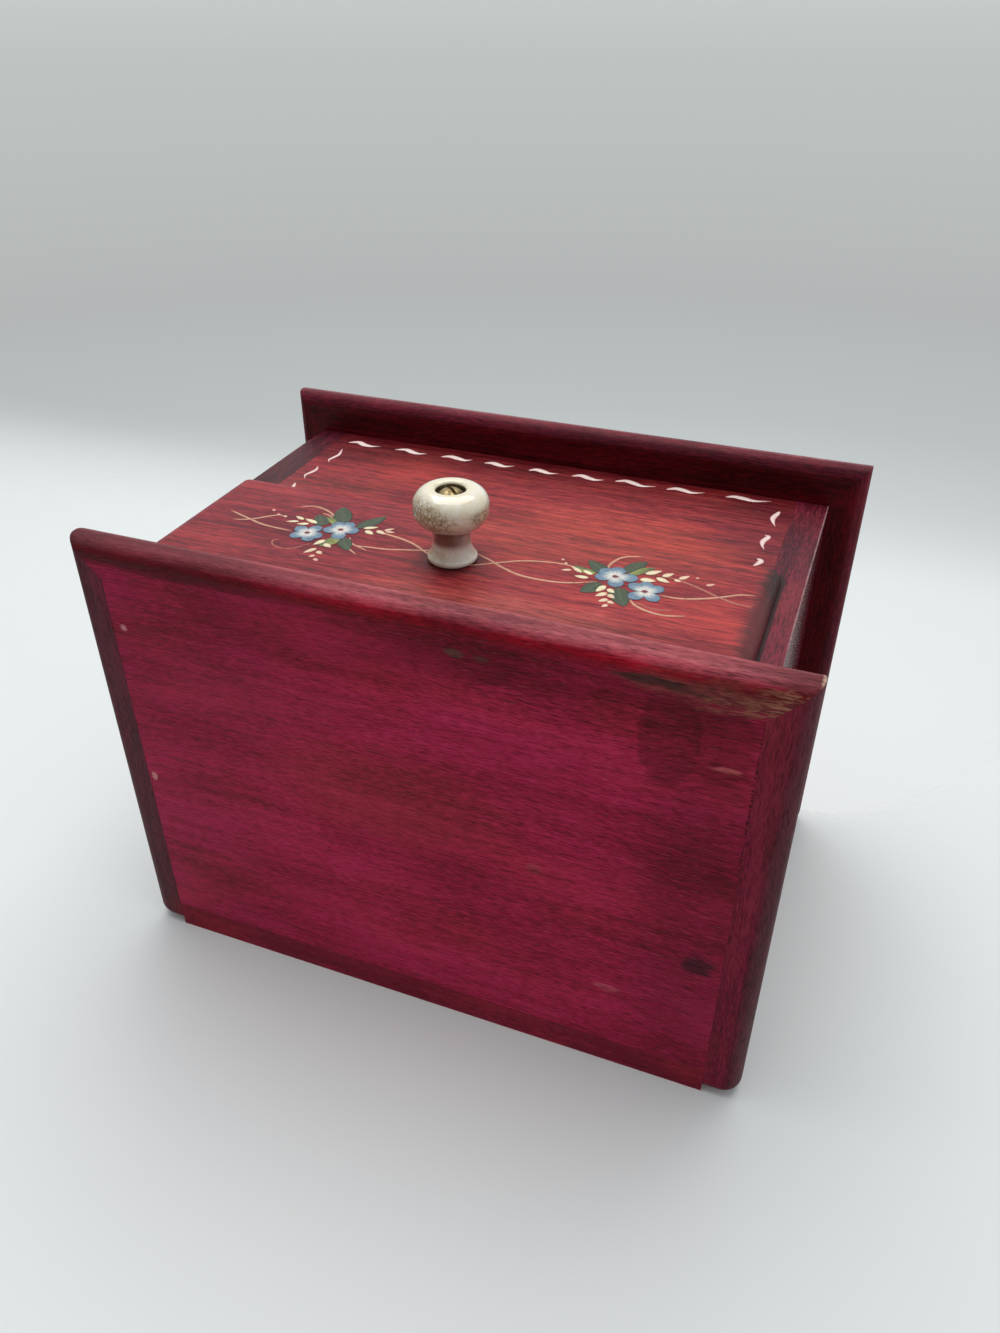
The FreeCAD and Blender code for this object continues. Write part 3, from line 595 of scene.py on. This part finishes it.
def stainedWood(name, board):
    finish, tree, place = newFinish(name)
    stain, axis, seed = board["stain"], board.get("grain", "x"), board["seed"]
    shifted = vectorCalc(tree, "ADD", place, tuple(seed * part for part in woodLook["shift"]))
    slow = stretched(tree, shifted, grainVector(axis, *woodLook["wander"]))
    wander = add(tree, "ShaderNodeTexNoise", inputs={"Vector": slow, "Scale": 1.0, "Detail": 1.0})
    drift = vectorCalc(tree, "SUBTRACT", wander.outputs["Color"], (0.5, 0.5, 0.5))
    waved = vectorCalc(tree, "ADD", shifted, scaledBy(tree, drift, woodLook["wanderReach"]))
    strong = board.get("strong", False)
    layers = {}
    tone = 0.5
    for layer, (along, across, strength, detail, lively) in grainLayers.items():
        along, strength = (along * frontGrainLength, strength * lively) if strong else (along, strength)
        layers[layer] = grainNoise(tree, waved, axis, along, across, detail)
        tone = calc(tree, "MULTIPLY_ADD", calc(tree, "SUBTRACT", layers[layer], 0.5), strength, tone)
    colour = stainTones(tree, tone, stain, woodLook["toneStops"])
    clouds = grainNoise(tree, shifted, axis, *woodLook["rustClouds"], 3.0)
    rusty = scaledBy(tree, stain["rust"], slope(tree, tone, *woodLook["rustLift"], smooth=False))
    colour = blend(tree, slope(tree, clouds, *woodLook["rustEdge"], 0.0, stain["rusty"]), colour, rusty)
    ragged = calc(tree, "SUBTRACT", grainNoise(tree, waved, axis, *woodLook["tears"], 3.0), 0.5)
    crumbs = grainNoise(tree, waved, axis, *woodLook["crumbs"], 2.0)
    marks = board.get("marks", ())
    colour = applyWearAndLightMarks(tree, colour, place, marks, True, tone, ragged, crumbs)
    if "bands" in board:
        colour = bandLightAndWear(tree, colour, place, board, tone, layers["streak"], layers["cloud"])
    colour = applyWearAndLightMarks(tree, colour, place, marks, False, tone, ragged, crumbs)
    # open pores are short dark dashes along the grain, with pale flecks among them
    pore = grainNoise(tree, waved, axis, *poreLook["size"], 1.0)
    poreDepth = slope(tree, pore, *poreLook["edge"], 0.0, poreLook["strength"])
    moved = vectorCalc(tree, "ADD", waved, woodLook["fleckShift"])
    fleck = grainNoise(tree, moved, axis, *fleckLook["size"], 1.0)
    fleckStrength = fleckLook["strength"] * board.get("flecks", 1.0)
    fleckDepth = slope(tree, fleck, *fleckLook["edge"], 0.0, fleckStrength)
    if board.get("coarse"):
        rougher = slope(tree, axes(tree, place)[0], *woodLook["coarser"])
        poreDepth = times(tree, poreDepth, rougher)
        fleckDepth = times(tree, fleckDepth, rougher)
    # painted shade darkens the lid's inner face below the shaded height
    if "shaded" in board:
        paintedShadeMask = slope(tree, axes(tree, place)[2], *mm(board["shaded"] + 0.2, board["shaded"] - 0.2))
        colour = blend(tree, paintedShadeMask, colour, stainTones(tree, tone, paintedShadeTones, woodLook["shadedStops"]))
        fleckDepth = times(tree, fleckDepth, calc(tree, "SUBTRACT", 1.0, paintedShadeMask))
    colour = blend(tree, poreDepth, colour, woodLook["poreTint"], "MULTIPLY")
    colour = blend(tree, fleckDepth, colour, woodLook["fleckTint"])
    height = calc(tree, "MULTIPLY_ADD", layers["streak"], 0.5, times(tree, layers["fibre"], 0.6))
    height = calc(tree, "MULTIPLY_ADD", poreDepth, -0.5, height)
    gloss = stain["gloss"]
    roughness = slope(tree, layers["fibre"], 0.3, 0.7, gloss - 0.06, gloss + 0.1)
    if board.get("polished"):
        front = slope(tree, calc(tree, "ABSOLUTE", axes(tree, place)[0]), *mm(*woodLook["sideEdge"]))
        roughness = calc(tree, "MULTIPLY_ADD", front, woodLook["frontRough"], woodLook["sideRough"])
        height = times(tree, height, front)
    finishWith(tree, colour, roughness, height, woodLook["bumpDepth"], Specular_IOR_Level=stain["shine"])
    return finish


# joins the imported corners and eases the sharp edges a little, as sanding does
def easeEdges(board, width):
    join = board.modifiers.new("join", "WELD")
    join.merge_threshold = 0.000002
    ease = board.modifiers.new("ease", "BEVEL")
    ease.width = width
    ease.segments = 2
    ease.limit_method = "ANGLE"
    ease.angle_limit = math.radians(40)
    ease.harden_normals = False


def giveFinish(node, finish):
    node.data.materials.clear()
    node.data.materials.append(finish)


for nodeName, board in woodBoards.items():
    giveFinish(boards[nodeName], stainedWood(nodeName + "Stain", board))
    if nodeName != "drawer_front":  # its edges are rounded already
        easeEdges(boards[nodeName], 0.00025)
print("boards stained")


# bare wood inside
bareStain = {
    "dark": (0.24, 0.13, 0.065),
    "middle": (0.42, 0.26, 0.14),
    "bright": (0.55, 0.38, 0.22),
    "rust": (0.44, 0.25, 0.12),
    "rusty": 0.8, "gloss": 0.62, "shine": 0.18,
}
bareWood = {
    "compartment_floor": {"seed": 21.0},
    "drawer_side_left": {"grain": "y", "seed": 22.0},
    "drawer_side_right": {"grain": "y", "seed": 23.0},
    "drawer_back": {"seed": 24.0},
    "drawer_bottom": {"seed": 25.0},
}
for nodeName, board in bareWood.items():
    giveFinish(boards[nodeName], stainedWood(nodeName + "Bare", dict(board, stain=bareStain)))
    easeEdges(boards[nodeName], 0.0002)
print("inside boards finished")


# the knob is glazed porcelain, browned where the glaze has crazed
# each range below runs from where a tint starts to where it is full, in millimetres
porcelainLook = {
    "middle": (-3.6, -73.8, 46.2),  # centre of its foot
    "glaze": (0.75, 0.72, 0.62),
    "cream": (0.71, 0.63, 0.45),
    "tea": (0.41, 0.305, 0.165),
    "shade": (0.44, 0.37, 0.32),
    "blush": (0.15, 0.052, 0.036),
    "crack": (0.15, 0.1, 0.055),
    "recessShade": (0.035, 0.024, 0.014),
    "clouds": (170.0, 4.0, 0.65),  # scale, detail, roughness
    "mottle": (520.0, 3.0, 0.7),
    "crackCells": 640.0,
    "cracks": (0.0, 0.14, 1.0, 0.0),
    "crown": (21.0, 23.0),  # heights above the foot
    "mouth": (8.5, 5.0, 0.0, 0.75),  # from its axis
    "head": (9.5, 11.5),
    "shoulder": (0.42, 19.4),  # the brown starts lower towards the right
    "shoulderEdge": (1.8, -2.6),
    "left": (-3.0, 6.5),
    "right": (8.6, 11.2),
    "rightTop": (20.4, 18.4),
    "rightLow": (12.6, 14.6),
    "underTop": (17.0, 13.0),
    "underLow": (9.0, 11.0),
    "neckTop": (12.6, 10.4),
    "neckLow": (4.6, 7.4),
    "neckTurn": (-7.0, 3.0, 0.45, 0.92),
    "foot": (7.0, 4.0),
    "footTurn": (0.0, 7.0),
    "well": (5.0, 4.6),
    "wellLow": (18.0, 19.0),
    "wellTop": (23.3, 22.7),
    "rough": (0.09, 0.18),
    "bumpDepth": 0.00022,
}


def porcelain(name, look):
    finish, tree, place = newFinish(name)
    fromFoot = vectorCalc(tree, "SUBTRACT", place, mm(*look["middle"]))
    across, along, up = axes(tree, scaledBy(tree, fromFoot, 1 / millimetre))
    height = times(tree, along, -1.0)
    radius = calc(tree, "POWER", calc(tree, "MULTIPLY_ADD", across, across, times(tree, up, up)), 0.5)
    leftward = calc(tree, "MULTIPLY_ADD", across, -0.86, times(tree, up, -0.5))
    cloud = noise(tree, place, *look["clouds"])
    mottle = noise(tree, place, *look["mottle"])

    def within(value, key):
        return slope(tree, value, *look[key])

    # the clouds and mottles move the edge of a tint by this many millimetres
    uneven = calc(tree, "MULTIPLY_ADD", calc(tree, "SUBTRACT", cloud, 0.5), 10.0,
                  times(tree, calc(tree, "SUBTRACT", mottle, 0.5), 7.0))

    def strayed(value, share):
        return calc(tree, "ADD", value, times(tree, uneven, share))

    warm = blend(tree, slope(tree, cloud, 0.4, 0.62, 0.0, 0.8), look["glaze"], look["cream"])
    mouth = times(tree, within(strayed(radius, 0.3), "mouth"), within(height, "crown"))
    colour = blend(tree, mouth, warm, look["cream"])
    # tea brown on the left of the head, from its shoulder down, and a patch on the right
    shoulder = calc(tree, "MULTIPLY_ADD", leftward, *look["shoulder"])
    below = within(calc(tree, "SUBTRACT", height, shoulder), "shoulderEdge")
    onHead = times(tree, below, within(height, "head"))
    left = times(tree, within(strayed(leftward, 1.0), "left"), onHead)
    right = times(tree, within(strayed(across, 0.35), "right"), within(height, "rightTop"),
                  within(height, "rightLow"))
    brown = times(tree, calc(tree, "MAXIMUM", left, times(tree, right, 0.8)), 0.95)
    # painted shade on the lower part of the head
    under = times(tree, within(strayed(height, 0.4), "underTop"), within(height, "underLow"))
    colour = blend(tree, times(tree, under, 0.45), colour, look["shade"])
    colour = blend(tree, times(tree, brown, slope(tree, mottle, 0.34, 0.6, 0.4, 1.0)), colour, look["tea"])
    # painted reflection of the red wood on the knob's neck
    neckReflection = times(tree, within(height, "neckTop"), within(height, "neckLow"),
                 within(strayed(leftward, 0.5), "neckTurn"))
    colour = blend(tree, neckReflection, colour, look["blush"])
    foot = times(tree, within(height, "foot"), within(strayed(leftward, 1.0), "footTurn"))
    colour = blend(tree, times(tree, foot, 0.65), colour, look["tea"])
    cells = add(tree, "ShaderNodeTexVoronoi", {"feature": "DISTANCE_TO_EDGE"},
                {"Vector": stretched(tree, place, (1.0, 0.8, 1.0)), "Scale": look["crackCells"]})
    crazed = slope(tree, calc(tree, "MAXIMUM", brown, times(tree, under, 0.35)), 0.0, 1.0, 0.05, 0.7)
    crack = times(tree, within(cells.outputs["Distance"], "cracks"), crazed)
    colour = blend(tree, crack, colour, look["crack"])
    # painted shade darkens the screw's recess
    well = times(tree, within(radius, "well"), within(height, "wellLow"), within(height, "wellTop"))
    colour = blend(tree, well, colour, look["recessShade"])
    roughness = slope(tree, cloud, 0.35, 0.65, *look["rough"])
    finishWith(tree, colour, roughness, cloud, look["bumpDepth"], Specular_IOR_Level=0.5, Coat_Weight=0.6,
               Coat_Roughness=0.06)
    return finish


metalLooks = {
    "agedBrass": {
        "bright": (0.34, 0.26, 0.13), "dull": (0.13, 0.095, 0.048), "rough": 0.36,
        "nodes": ("knob_screw", "hinge_case_leaf_left", "hinge_case_leaf_right", "hinge_lid_leaf_left",
                  "hinge_lid_leaf_right", "hinge_case_screws", "hinge_lid_screws"),
    },
    "dullSteel": {
        "bright": (0.42, 0.4, 0.38), "dull": (0.16, 0.12, 0.1), "rough": 0.42,
        "nodes": ("hinge_pin_left", "hinge_pin_right"),
    },
    "rustedSteel": {
        "bright": (0.26, 0.22, 0.2), "dull": (0.13, 0.06, 0.035), "rough": 0.55,
        "nodes": ("back_brads",),
    },
}


def metal(name, look):
    finish, tree, place = newFinish(name)
    cloud = noise(tree, place, 420.0, 4.0, 0.65)
    fine = noise(tree, place, 2600.0, 2.0, 0.6)
    colour = blend(tree, slope(tree, cloud, 0.42, 0.66), look["bright"], look["dull"])
    roughness = slope(tree, cloud, 0.3, 0.7, look["rough"] - 0.08, look["rough"] + 0.22)
    finishWith(tree, colour, roughness, calc(tree, "ADD", cloud, fine), 0.00004, Metallic=1.0)
    return finish


for metalName, look in metalLooks.items():
    metalFinish = metal(metalName, look)
    for nodeName in look["nodes"]:
        giveFinish(boards[nodeName], metalFinish)
giveFinish(boards["drawer_knob"], porcelain("crazedPorcelain", porcelainLook))
print("knob and metal finished")


# painted decoration: every stroke is a low closed ridge of paint on the wood
paints = {
    "white": (0.8, 0.72, 0.68),
    "blush": (0.56, 0.24, 0.24),
    "cream": (0.72, 0.67, 0.45),
    "pinkCream": (0.66, 0.34, 0.28),
    "tendril": (0.56, 0.3, 0.2),
    "tendrilFaint": (0.4, 0.12, 0.09),
    "leaf": (0.034, 0.052, 0.026),
    "leafPale": (0.062, 0.086, 0.036),
    "lime": (0.24, 0.27, 0.06),
    "petalWhite": (0.6, 0.6, 0.56),
    "petalPink": (0.58, 0.4, 0.4),
    "petalBlue": (0.13, 0.215, 0.3),
    "petalDeep": (0.08, 0.15, 0.24),
    "eye": (0.15, 0.018, 0.024),
}
paintLayer = {"foot": 0.02, "rim": 0.03, "step": 0.04, "crown": 0.07}
ringSpace, fewestRings, mostRings = 0.55, 10, 60


# evenly spread places on a smooth line through the given points
def curveThrough(points, count):
    padded = [points[0], *points, points[-1]]
    line = []
    for i in range(count):
        along = i / (count - 1) * (len(points) - 1)
        first = min(int(along), len(points) - 2)
        t = along - first
        if len(points) == 2:
            line.append(tuple(a + (b - a) * t for a, b in zip(*points)))
            continue
        near = zip(*padded[first:first + 4])
        line.append(tuple(0.5 * (2 * b + (c - a) * t + (2 * a - 5 * b + 4 * c - d) * t * t
                                 + (3 * b - a - 3 * c + d) * t ** 3) for a, b, c, d in near))
    return line


def mixed(first, second, amount):
    amount = max(0.0, min(1.0, amount))
    return tuple(a + (b - a) * amount for a, b in zip(first, second))


# outlines of the strokes: share of the full width at t, from 0 at the start to 1 at the end
def commaStroke(t):
    return max(0.1, math.sin(math.pi * min(1.0, 0.04 + 0.96 * t ** 0.85)) ** 1.1)


def leafStroke(t):
    return max(0.03, math.sin(math.pi * t ** 0.8) ** 0.85)


def petalStroke(t):
    return max(0.03, math.sin(math.pi * (0.07 + 0.93 * t ** 1.35)) ** 0.62)


def threadStroke(t):
    return 0.35 + 0.65 * math.sin(math.pi * t) ** 0.5


def dabStroke(t):
    return max(0.03, math.sin(math.pi * t ** 0.75) ** 0.85)


# adds one closed stroke: a flat foot just inside the wood, a thin rim and a low crown
def brushStroke(mesh, paintOf, line, width, shape, plane, layer=0, across=5):
    colours = mesh.verts.layers.float_color["paint"]
    length = sum(math.dist(a, b) for a, b in zip(line, line[1:]))
    count = max(fewestRings, min(mostRings, int(length / ringSpace)))
    spine = curveThrough(line, count)
    rings = []
    for i, (x, z) in enumerate(spine):
        t = i / (count - 1)
        before, after = spine[max(0, i - 1)], spine[min(count - 1, i + 1)]
        run = math.dist(before, after) or 1.0
        sideways = (-(after[1] - before[1]) / run, (after[0] - before[0]) / run)
        half = width / 2 * shape(t)
        ring = []
        for j in range(across):
            s = 2 * j / (across - 1) - 1
            crown = paintLayer["crown"] * (1 - s * s) * min(1.0, half)
            rise = paintLayer["rim"] + paintLayer["step"] * layer + crown
            ring.append(((x + sideways[0] * half * s, plane - rise, z + sideways[1] * half * s), s))
        left, right = ring[0][0], ring[-1][0]
        foot = plane + paintLayer["foot"]
        ring = [((left[0], foot, left[2]), -1), *ring, ((right[0], foot, right[2]), 1)]
        verts = []
        for place, s in ring:
            vert = mesh.verts.new(mm(*place))
            vert[colours] = (*paintOf(t, s), 1.0)
            verts.append(vert)
        rings.append(verts)
    for one, other in zip(rings, rings[1:]):
        for k in range(len(one)):
            following = (k + 1) % len(one)
            mesh.faces.new((one[k], one[following], other[following], other[k]))
    mesh.faces.new(rings[0][::-1])
    mesh.faces.new(rings[-1])


def paintFinish():
    finish, tree, place = newFinish("artPaint")
    paint = add(tree, "ShaderNodeAttribute", {"attribute_name": "paint"}).outputs["Color"]
    bristle = noise(tree, place, 1300.0, 3.0, 0.65)
    patch = noise(tree, place, 420.0, 2.0, 0.6)
    colour = blend(tree, slope(tree, bristle, 0.4, 0.75, 0.0, 0.45), paint, paint, "MULTIPLY")
    colour = blend(tree, slope(tree, patch, 0.52, 0.7, 0.0, 0.4), colour, paint, "MULTIPLY")
    roughness = slope(tree, bristle, 0.3, 0.7, 0.34, 0.5)
    finishWith(tree, colour, roughness, bristle, 0.00005, Specular_IOR_Level=0.35)
    return finish


brushPaint = paintFinish()


def paintedPiece(name, body, paintAll):
    mesh = bmesh.new()
    mesh.verts.layers.float_color.new("paint")
    paintAll(mesh)
    bmesh.ops.recalc_face_normals(mesh, faces=mesh.faces)
    for face in mesh.faces:
        face.smooth = True
    data = bpy.data.meshes.new(name)
    mesh.to_mesh(data)
    mesh.free()
    data.materials.append(brushPaint)
    piece = newObject(name, data)
    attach(piece, body)


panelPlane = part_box("front_panel")[0].y / millimetre
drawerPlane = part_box("drawer_front")[0].y / millimetre

# each border stroke is an S-curve: places across and up the front, then the widths of the three rows
border = {
    "topRow": (
        ((-85.4, 130.4), (-81.8, 132.1), (-78.4, 130.5), (-75.2, 130.1), (-71.6, 131.2)),
        ((-64.8, 130.4), (-60.6, 131.9), (-57.2, 130.5), (-54.3, 130.0), (-51.1, 131.2)),
        ((-44.8, 130.3), (-41.7, 131.9), (-38.0, 131.2), (-34.8, 130.4), (-32.1, 132.1)),
        ((-26.8, 130.7), (-23.9, 131.8), (-21.0, 131.0), (-18.2, 130.5), (-14.8, 132.3)),
        ((-8.4, 130.1), (-6.1, 131.9), (-3.1, 131.3), (-0.3, 130.4), (3.1, 131.4)),
        ((8.4, 131.0), (11.5, 132.8), (14.8, 131.6), (17.7, 130.9), (20.8, 132.1)),
        ((24.8, 132.2), (28.4, 134.1), (31.8, 133.1), (35.4, 131.8), (40.2, 133.3)),
        ((44.3, 132.0), (47.5, 134.1), (50.9, 133.4), (53.9, 132.6), (58.1, 134.3)),
        ((65.8, 133.4), (68.9, 134.8), (72.6, 134.3), (76.3, 133.7), (81.9, 135.6)),
    ),
    "leftColumn": (
        ((-84.6, 123.7), (-83.1, 118.4), (-83.6, 115.0), (-84.2, 112.1), (-83.0, 110.0)),
        ((-85.1, 104.9), (-84.1, 101.9), (-84.7, 98.7), (-85.4, 95.9), (-83.8, 92.8)),
        ((-85.4, 88.6), (-84.4, 85.8), (-84.4, 84.5), (-85.3, 83.9)),
    ),
    "rightColumn": (
        ((85.9, 128.2), (85.4, 126.0), (84.5, 122.1), (85.0, 119.1), (86.2, 115.7)),
        ((83.9, 108.0), (85.3, 107.1), (84.2, 103.4), (84.3, 100.5), (85.5, 97.1)),
        ((84.2, 90.3), (85.8, 89.2), (85.0, 86.5), (83.6, 84.3)),
    ),
    "widths": {"topRow": 2.7, "leftColumn": 1.4, "rightColumn": 2.0},
    "blush": {"topRow": 0.12, "leftColumn": 0.3, "rightColumn": 0.3},
}


def paintBorder(mesh):
    for row, width in border["widths"].items():
        blush = border["blush"][row]

        def borderTint(t, s):
            ends = 1.0 - min(1.0, 1.25 * math.sin(math.pi * t) ** 0.5)
            return mixed(paints["white"], paints["blush"], blush + 0.8 * ends + 0.4 * abs(s) ** 3)

        for line in border[row]:
            brushStroke(mesh, borderTint, line, width, commaStroke, panelPlane)


paintedPiece("paintedBorder", "case", paintBorder)

sprigs = {
    "flowers": (
        {"centre": (-54.5, 44.8), "radius": 6.0, "petals": (224, 152, 73, 352, 300)},
        {"centre": (-45.3, 50.6), "radius": 6.5, "petals": (195, 132, 80, 16, 288)},
        {"centre": (47.3, 52.6), "radius": 6.8, "petals": (196, 148, 94, 12, 288)},
        {"centre": (57.9, 46.9), "radius": 6.2, "petals": (236, 150, 98, 44, 318)},
    ),
    "leaves": (
        ((-52.5, 51.5), (-57.8, 58.2), 6.2), ((-46.8, 55.0), (-52.8, 66.5), 6.4),
        ((-41.5, 54.0), (-36.0, 65.0), 5.2), ((-42.0, 46.0), (-36.5, 38.5), 5.0),
        ((44.5, 53.5), (36.8, 60.0), 5.2), ((49.5, 56.0), (54.0, 65.2), 5.2),
        ((44.0, 47.5), (40.0, 40.2), 5.4), ((49.8, 46.5), (54.3, 36.6), 6.6),
    ),
    "limeLeaves": (
        ((-43.5, 46.0), (-46.8, 38.2), 4.4), ((51.0, 55.0), (57.2, 62.4), 3.4),
        ((41.0, 52.3), (33.5, 55.0), 3.2), ((-49.0, 54.0), (-54.2, 57.8), 2.8),
    ),
    "creamDabs": (
        ((-46.7, 42.5), (-48.6, 38.2), 2.2), ((-45.9, 40.2), (-42.5, 38.6), 2.2),
        ((-46.4, 36.4), (-48.8, 32.2), 1.9), ((-45.4, 34.8), (-42.9, 33.6), 1.9),
        ((-44.5, 32.1), (-46.0, 30.5), 1.5), ((-43.8, 30.1), (-41.9, 29.1), 1.5),
        ((-60.6, 53.0), (-64.4, 54.5), 1.7), ((-55.0, 52.2), (-60.6, 53.9), 1.9),
        ((-61.4, 51.4), (-65.5, 49.7), 1.4), ((-57.4, 50.9), (-61.2, 49.4), 1.7),
        ((-67.0, 52.6), (-68.4, 53.4), 1.2), ((-69.8, 53.0), (-71.2, 53.8), 1.1),
        ((-73.2, 55.4), (-74.6, 56.4), 1.1), ((-39.0, 54.4), (-34.7, 56.9), 1.7),
        ((-37.6, 53.2), (-34.0, 51.6), 2.1), ((-34.2, 54.6), (-30.4, 53.0), 2.0),
        ((-32.0, 55.4), (-29.2, 57.9), 1.3), ((-31.2, 54.9), (-28.0, 55.4), 1.2),
        ((55.3, 57.6), (59.6, 61.3), 2.3), ((54.6, 53.8), (59.4, 54.4), 2.5),
        ((60.5, 57.9), (63.4, 61.0), 2.0), ((59.0, 56.6), (63.4, 54.9), 2.2),
        ((65.6, 58.1), (68.2, 61.3), 1.8), ((64.3, 57.3), (66.6, 56.8), 1.5),
        ((70.3, 60.4), (71.2, 61.1), 1.0), ((74.0, 57.1), (76.4, 58.9), 1.4),
        ((40.4, 51.4), (36.4, 53.6), 1.9), ((39.9, 49.0), (35.4, 48.8), 1.8),
        ((37.0, 51.4), (32.8, 54.3), 1.6), ((33.6, 52.0), (30.5, 50.9), 1.3),
        ((31.0, 54.9), (30.2, 56.0), 1.1), ((29.3, 57.0), (28.6, 58.0), 1.1),
        ((46.0, 46.3), (44.3, 41.9), 2.3), ((47.7, 42.3), (44.9, 39.3), 2.0),
        ((48.9, 38.9), (46.6, 36.6), 1.8), ((49.8, 35.8), (48.3, 34.0), 1.5),
        ((47.1, 44.7), (49.8, 43.1), 2.1), ((48.1, 41.7), (50.6, 40.0), 1.9),
        ((49.0, 37.8), (51.3, 37.1), 1.6),
    ),
    "tendrils": (
        ("tendril", 0.8, ((-83.0, 45.0), (-77.5, 47.1), (-70.9, 52.9), (-67.0, 52.8))),
        ("tendril", 0.9, ((-87.2, 50.5), (-79.0, 47.6), (-70.6, 45.0), (-60.2, 44.4))),
        ("tendrilFaint", 0.6, ((-61.0, 38.1), (-62.3, 36.2), (-60.6, 33.6), (-56.7, 32.6),
          (-53.5, 34.0), (-50.0, 38.6))),
        ("tendril", 0.9, ((-66.9, 61.2), (-63.0, 63.4), (-57.3, 62.4), (-51.7, 58.4), (-48.0, 52.5))),
        ("tendril", 0.7, ((-57.1, 59.7), (-53.4, 58.6), (-50.9, 55.4))),
        ("tendril", 0.7, ((-41.2, 46.5), (-40.0, 42.6), (-32.7, 37.2))),
        ("tendril", 0.7, ((-40.2, 47.2), (-37.6, 43.6), (-31.0, 41.0))),
        ("tendril", 0.8, ((-38.5, 44.0), (-35.6, 42.7), (-31.1, 43.2), (-25.6, 43.9), (-19.9, 45.6),
          (-13.0, 47.9), (-8.0, 49.5))),
        ("tendril", 1.0, ((-34.0, 54.2), (-30.9, 53.6), (-26.6, 52.8), (-22.8, 51.8), (-19.3, 50.5),
          (-15.0, 47.9), (-9.0, 43.8))),
        ("tendril", 1.0, ((1.5, 51.8), (7.5, 49.2), (13.0, 46.0), (20.0, 43.3), (28.0, 42.9),
          (35.2, 44.2), (43.0, 48.0))),
        ("tendril", 0.8, ((1.5, 42.6), (6.0, 45.2), (11.2, 48.6), (17.0, 52.0), (23.5, 54.0),
          (31.1, 54.7), (38.0, 52.8))),
        ("tendril", 0.9, ((46.0, 52.6), (43.6, 58.0), (44.6, 63.3), (47.2, 66.5), (52.0, 68.4))),
        ("tendrilFaint", 1.0, ((62.0, 58.2), (66.5, 57.3), (71.7, 55.3), (78.9, 51.7), (83.9, 49.9),
          (88.8, 49.5))),
        ("tendril", 0.9, ((62.0, 46.8), (66.0, 46.6), (69.5, 47.2), (74.6, 49.2), (79.5, 52.0),
          (84.4, 55.3), (89.0, 56.6))),
        ("tendril", 1.0, ((54.6, 41.6), (57.0, 38.6), (61.0, 36.6), (66.3, 35.9), (72.4, 37.8))),
        ("tendrilFaint", 0.7, ((57.0, 40.0), (62.5, 38.3), (67.8, 39.3))),
    ),
}


petalWidth = 0.74  # share of the flower's radius
leafBow = 0.36


def petalTint(t, s):
    white = mixed(paints["petalPink"], paints["petalWhite"], 0.35 + 3.0 * t)
    feathered = 0.1 * math.sin(11.0 * s + 4.0 * t)
    outward = 2.4 * (t - 0.24) + 0.85 * abs(s) ** 2.0 * (0.35 + t)
    blue = mixed(white, paints["petalBlue"], outward + feathered)
    return mixed(blue, paints["petalDeep"], 2.4 * (t - 0.8) + 0.5 * abs(s) ** 5)


def paintFlower(mesh, flower, chance):
    x, z = flower["centre"]
    for number, angle in enumerate(flower["petals"]):
        bearing = math.radians(angle + chance.uniform(-3, 3))
        reach = flower["radius"] * chance.uniform(0.92, 1.05)
        start = (x + 0.5 * math.cos(bearing), z + 0.5 * math.sin(bearing))
        end = (x + reach * math.cos(bearing), z + reach * math.sin(bearing))
        width = flower["radius"] * petalWidth
        brushStroke(mesh, petalTint, (start, end), width, petalStroke, drawerPlane, 3 + number % 2, 9)
    eyeLine = ((x - 1.0, z - 0.1), (x + 1.0, z + 0.1))
    brushStroke(mesh, lambda t, s: paints["eye"], eyeLine, 1.5, leafStroke, drawerPlane, 6)


def paintFlowers(mesh):
    chance = random.Random(5)
    for flower in sprigs["flowers"]:
        paintFlower(mesh, flower, chance)


def paintLeaves(mesh):
    def greenTint(t, s):  # a pale rib and a paler side
        rib = 0.9 * max(0.0, 1.0 - 7.0 * abs(s))
        return mixed(paints["leaf"], paints["leafPale"], rib + 0.5 * max(0.0, s) * t)

    def limeTint(t, s):
        return mixed(paints["lime"], paints["leafPale"], 0.9 * t - 0.4 * s)

    for number, (base, tip, width) in enumerate(sprigs["leaves"] + sprigs["limeLeaves"]):
        tint = greenTint if number < len(sprigs["leaves"]) else limeTint
        bow = leafBow if number % 2 else -leafBow
        middle = ((base[0] + tip[0]) / 2 - bow, (base[1] + tip[1]) / 2 + bow)
        brushStroke(mesh, tint, (base, middle, tip), width, leafStroke, drawerPlane, 1, 9)


def paintTendrils(mesh):
    for paint, width, line in sprigs["tendrils"]:

        def threadTint(t, s):
            return mixed(paints["tendrilFaint"], paints[paint], 2.6 * math.sin(math.pi * t))

        brushStroke(mesh, threadTint, line, width, threadStroke, drawerPlane, 0, 3)


def paintDabs(mesh):
    eyes = [flower["centre"] for flower in sprigs["flowers"]]
    for start, end, width in sprigs["creamDabs"]:
        far = min(math.dist(start, eye) for eye in eyes)

        def dabTint(t, s):
            pink = (far - 8.0) / 12.0 + 0.5 * abs(t - 0.4) + 0.2 * s
            return mixed(paints["cream"], paints["pinkCream"], pink)

        brushStroke(mesh, dabTint, (start, end), width, dabStroke, drawerPlane, 2)


paintedPiece("paintedTendrils", "drawer", paintTendrils)
paintedPiece("paintedLeaves", "drawer", paintLeaves)
paintedPiece("paintedDabs", "drawer", paintDabs)
paintedPiece("paintedFlowers", "drawer", paintFlowers)
print("decoration painted")
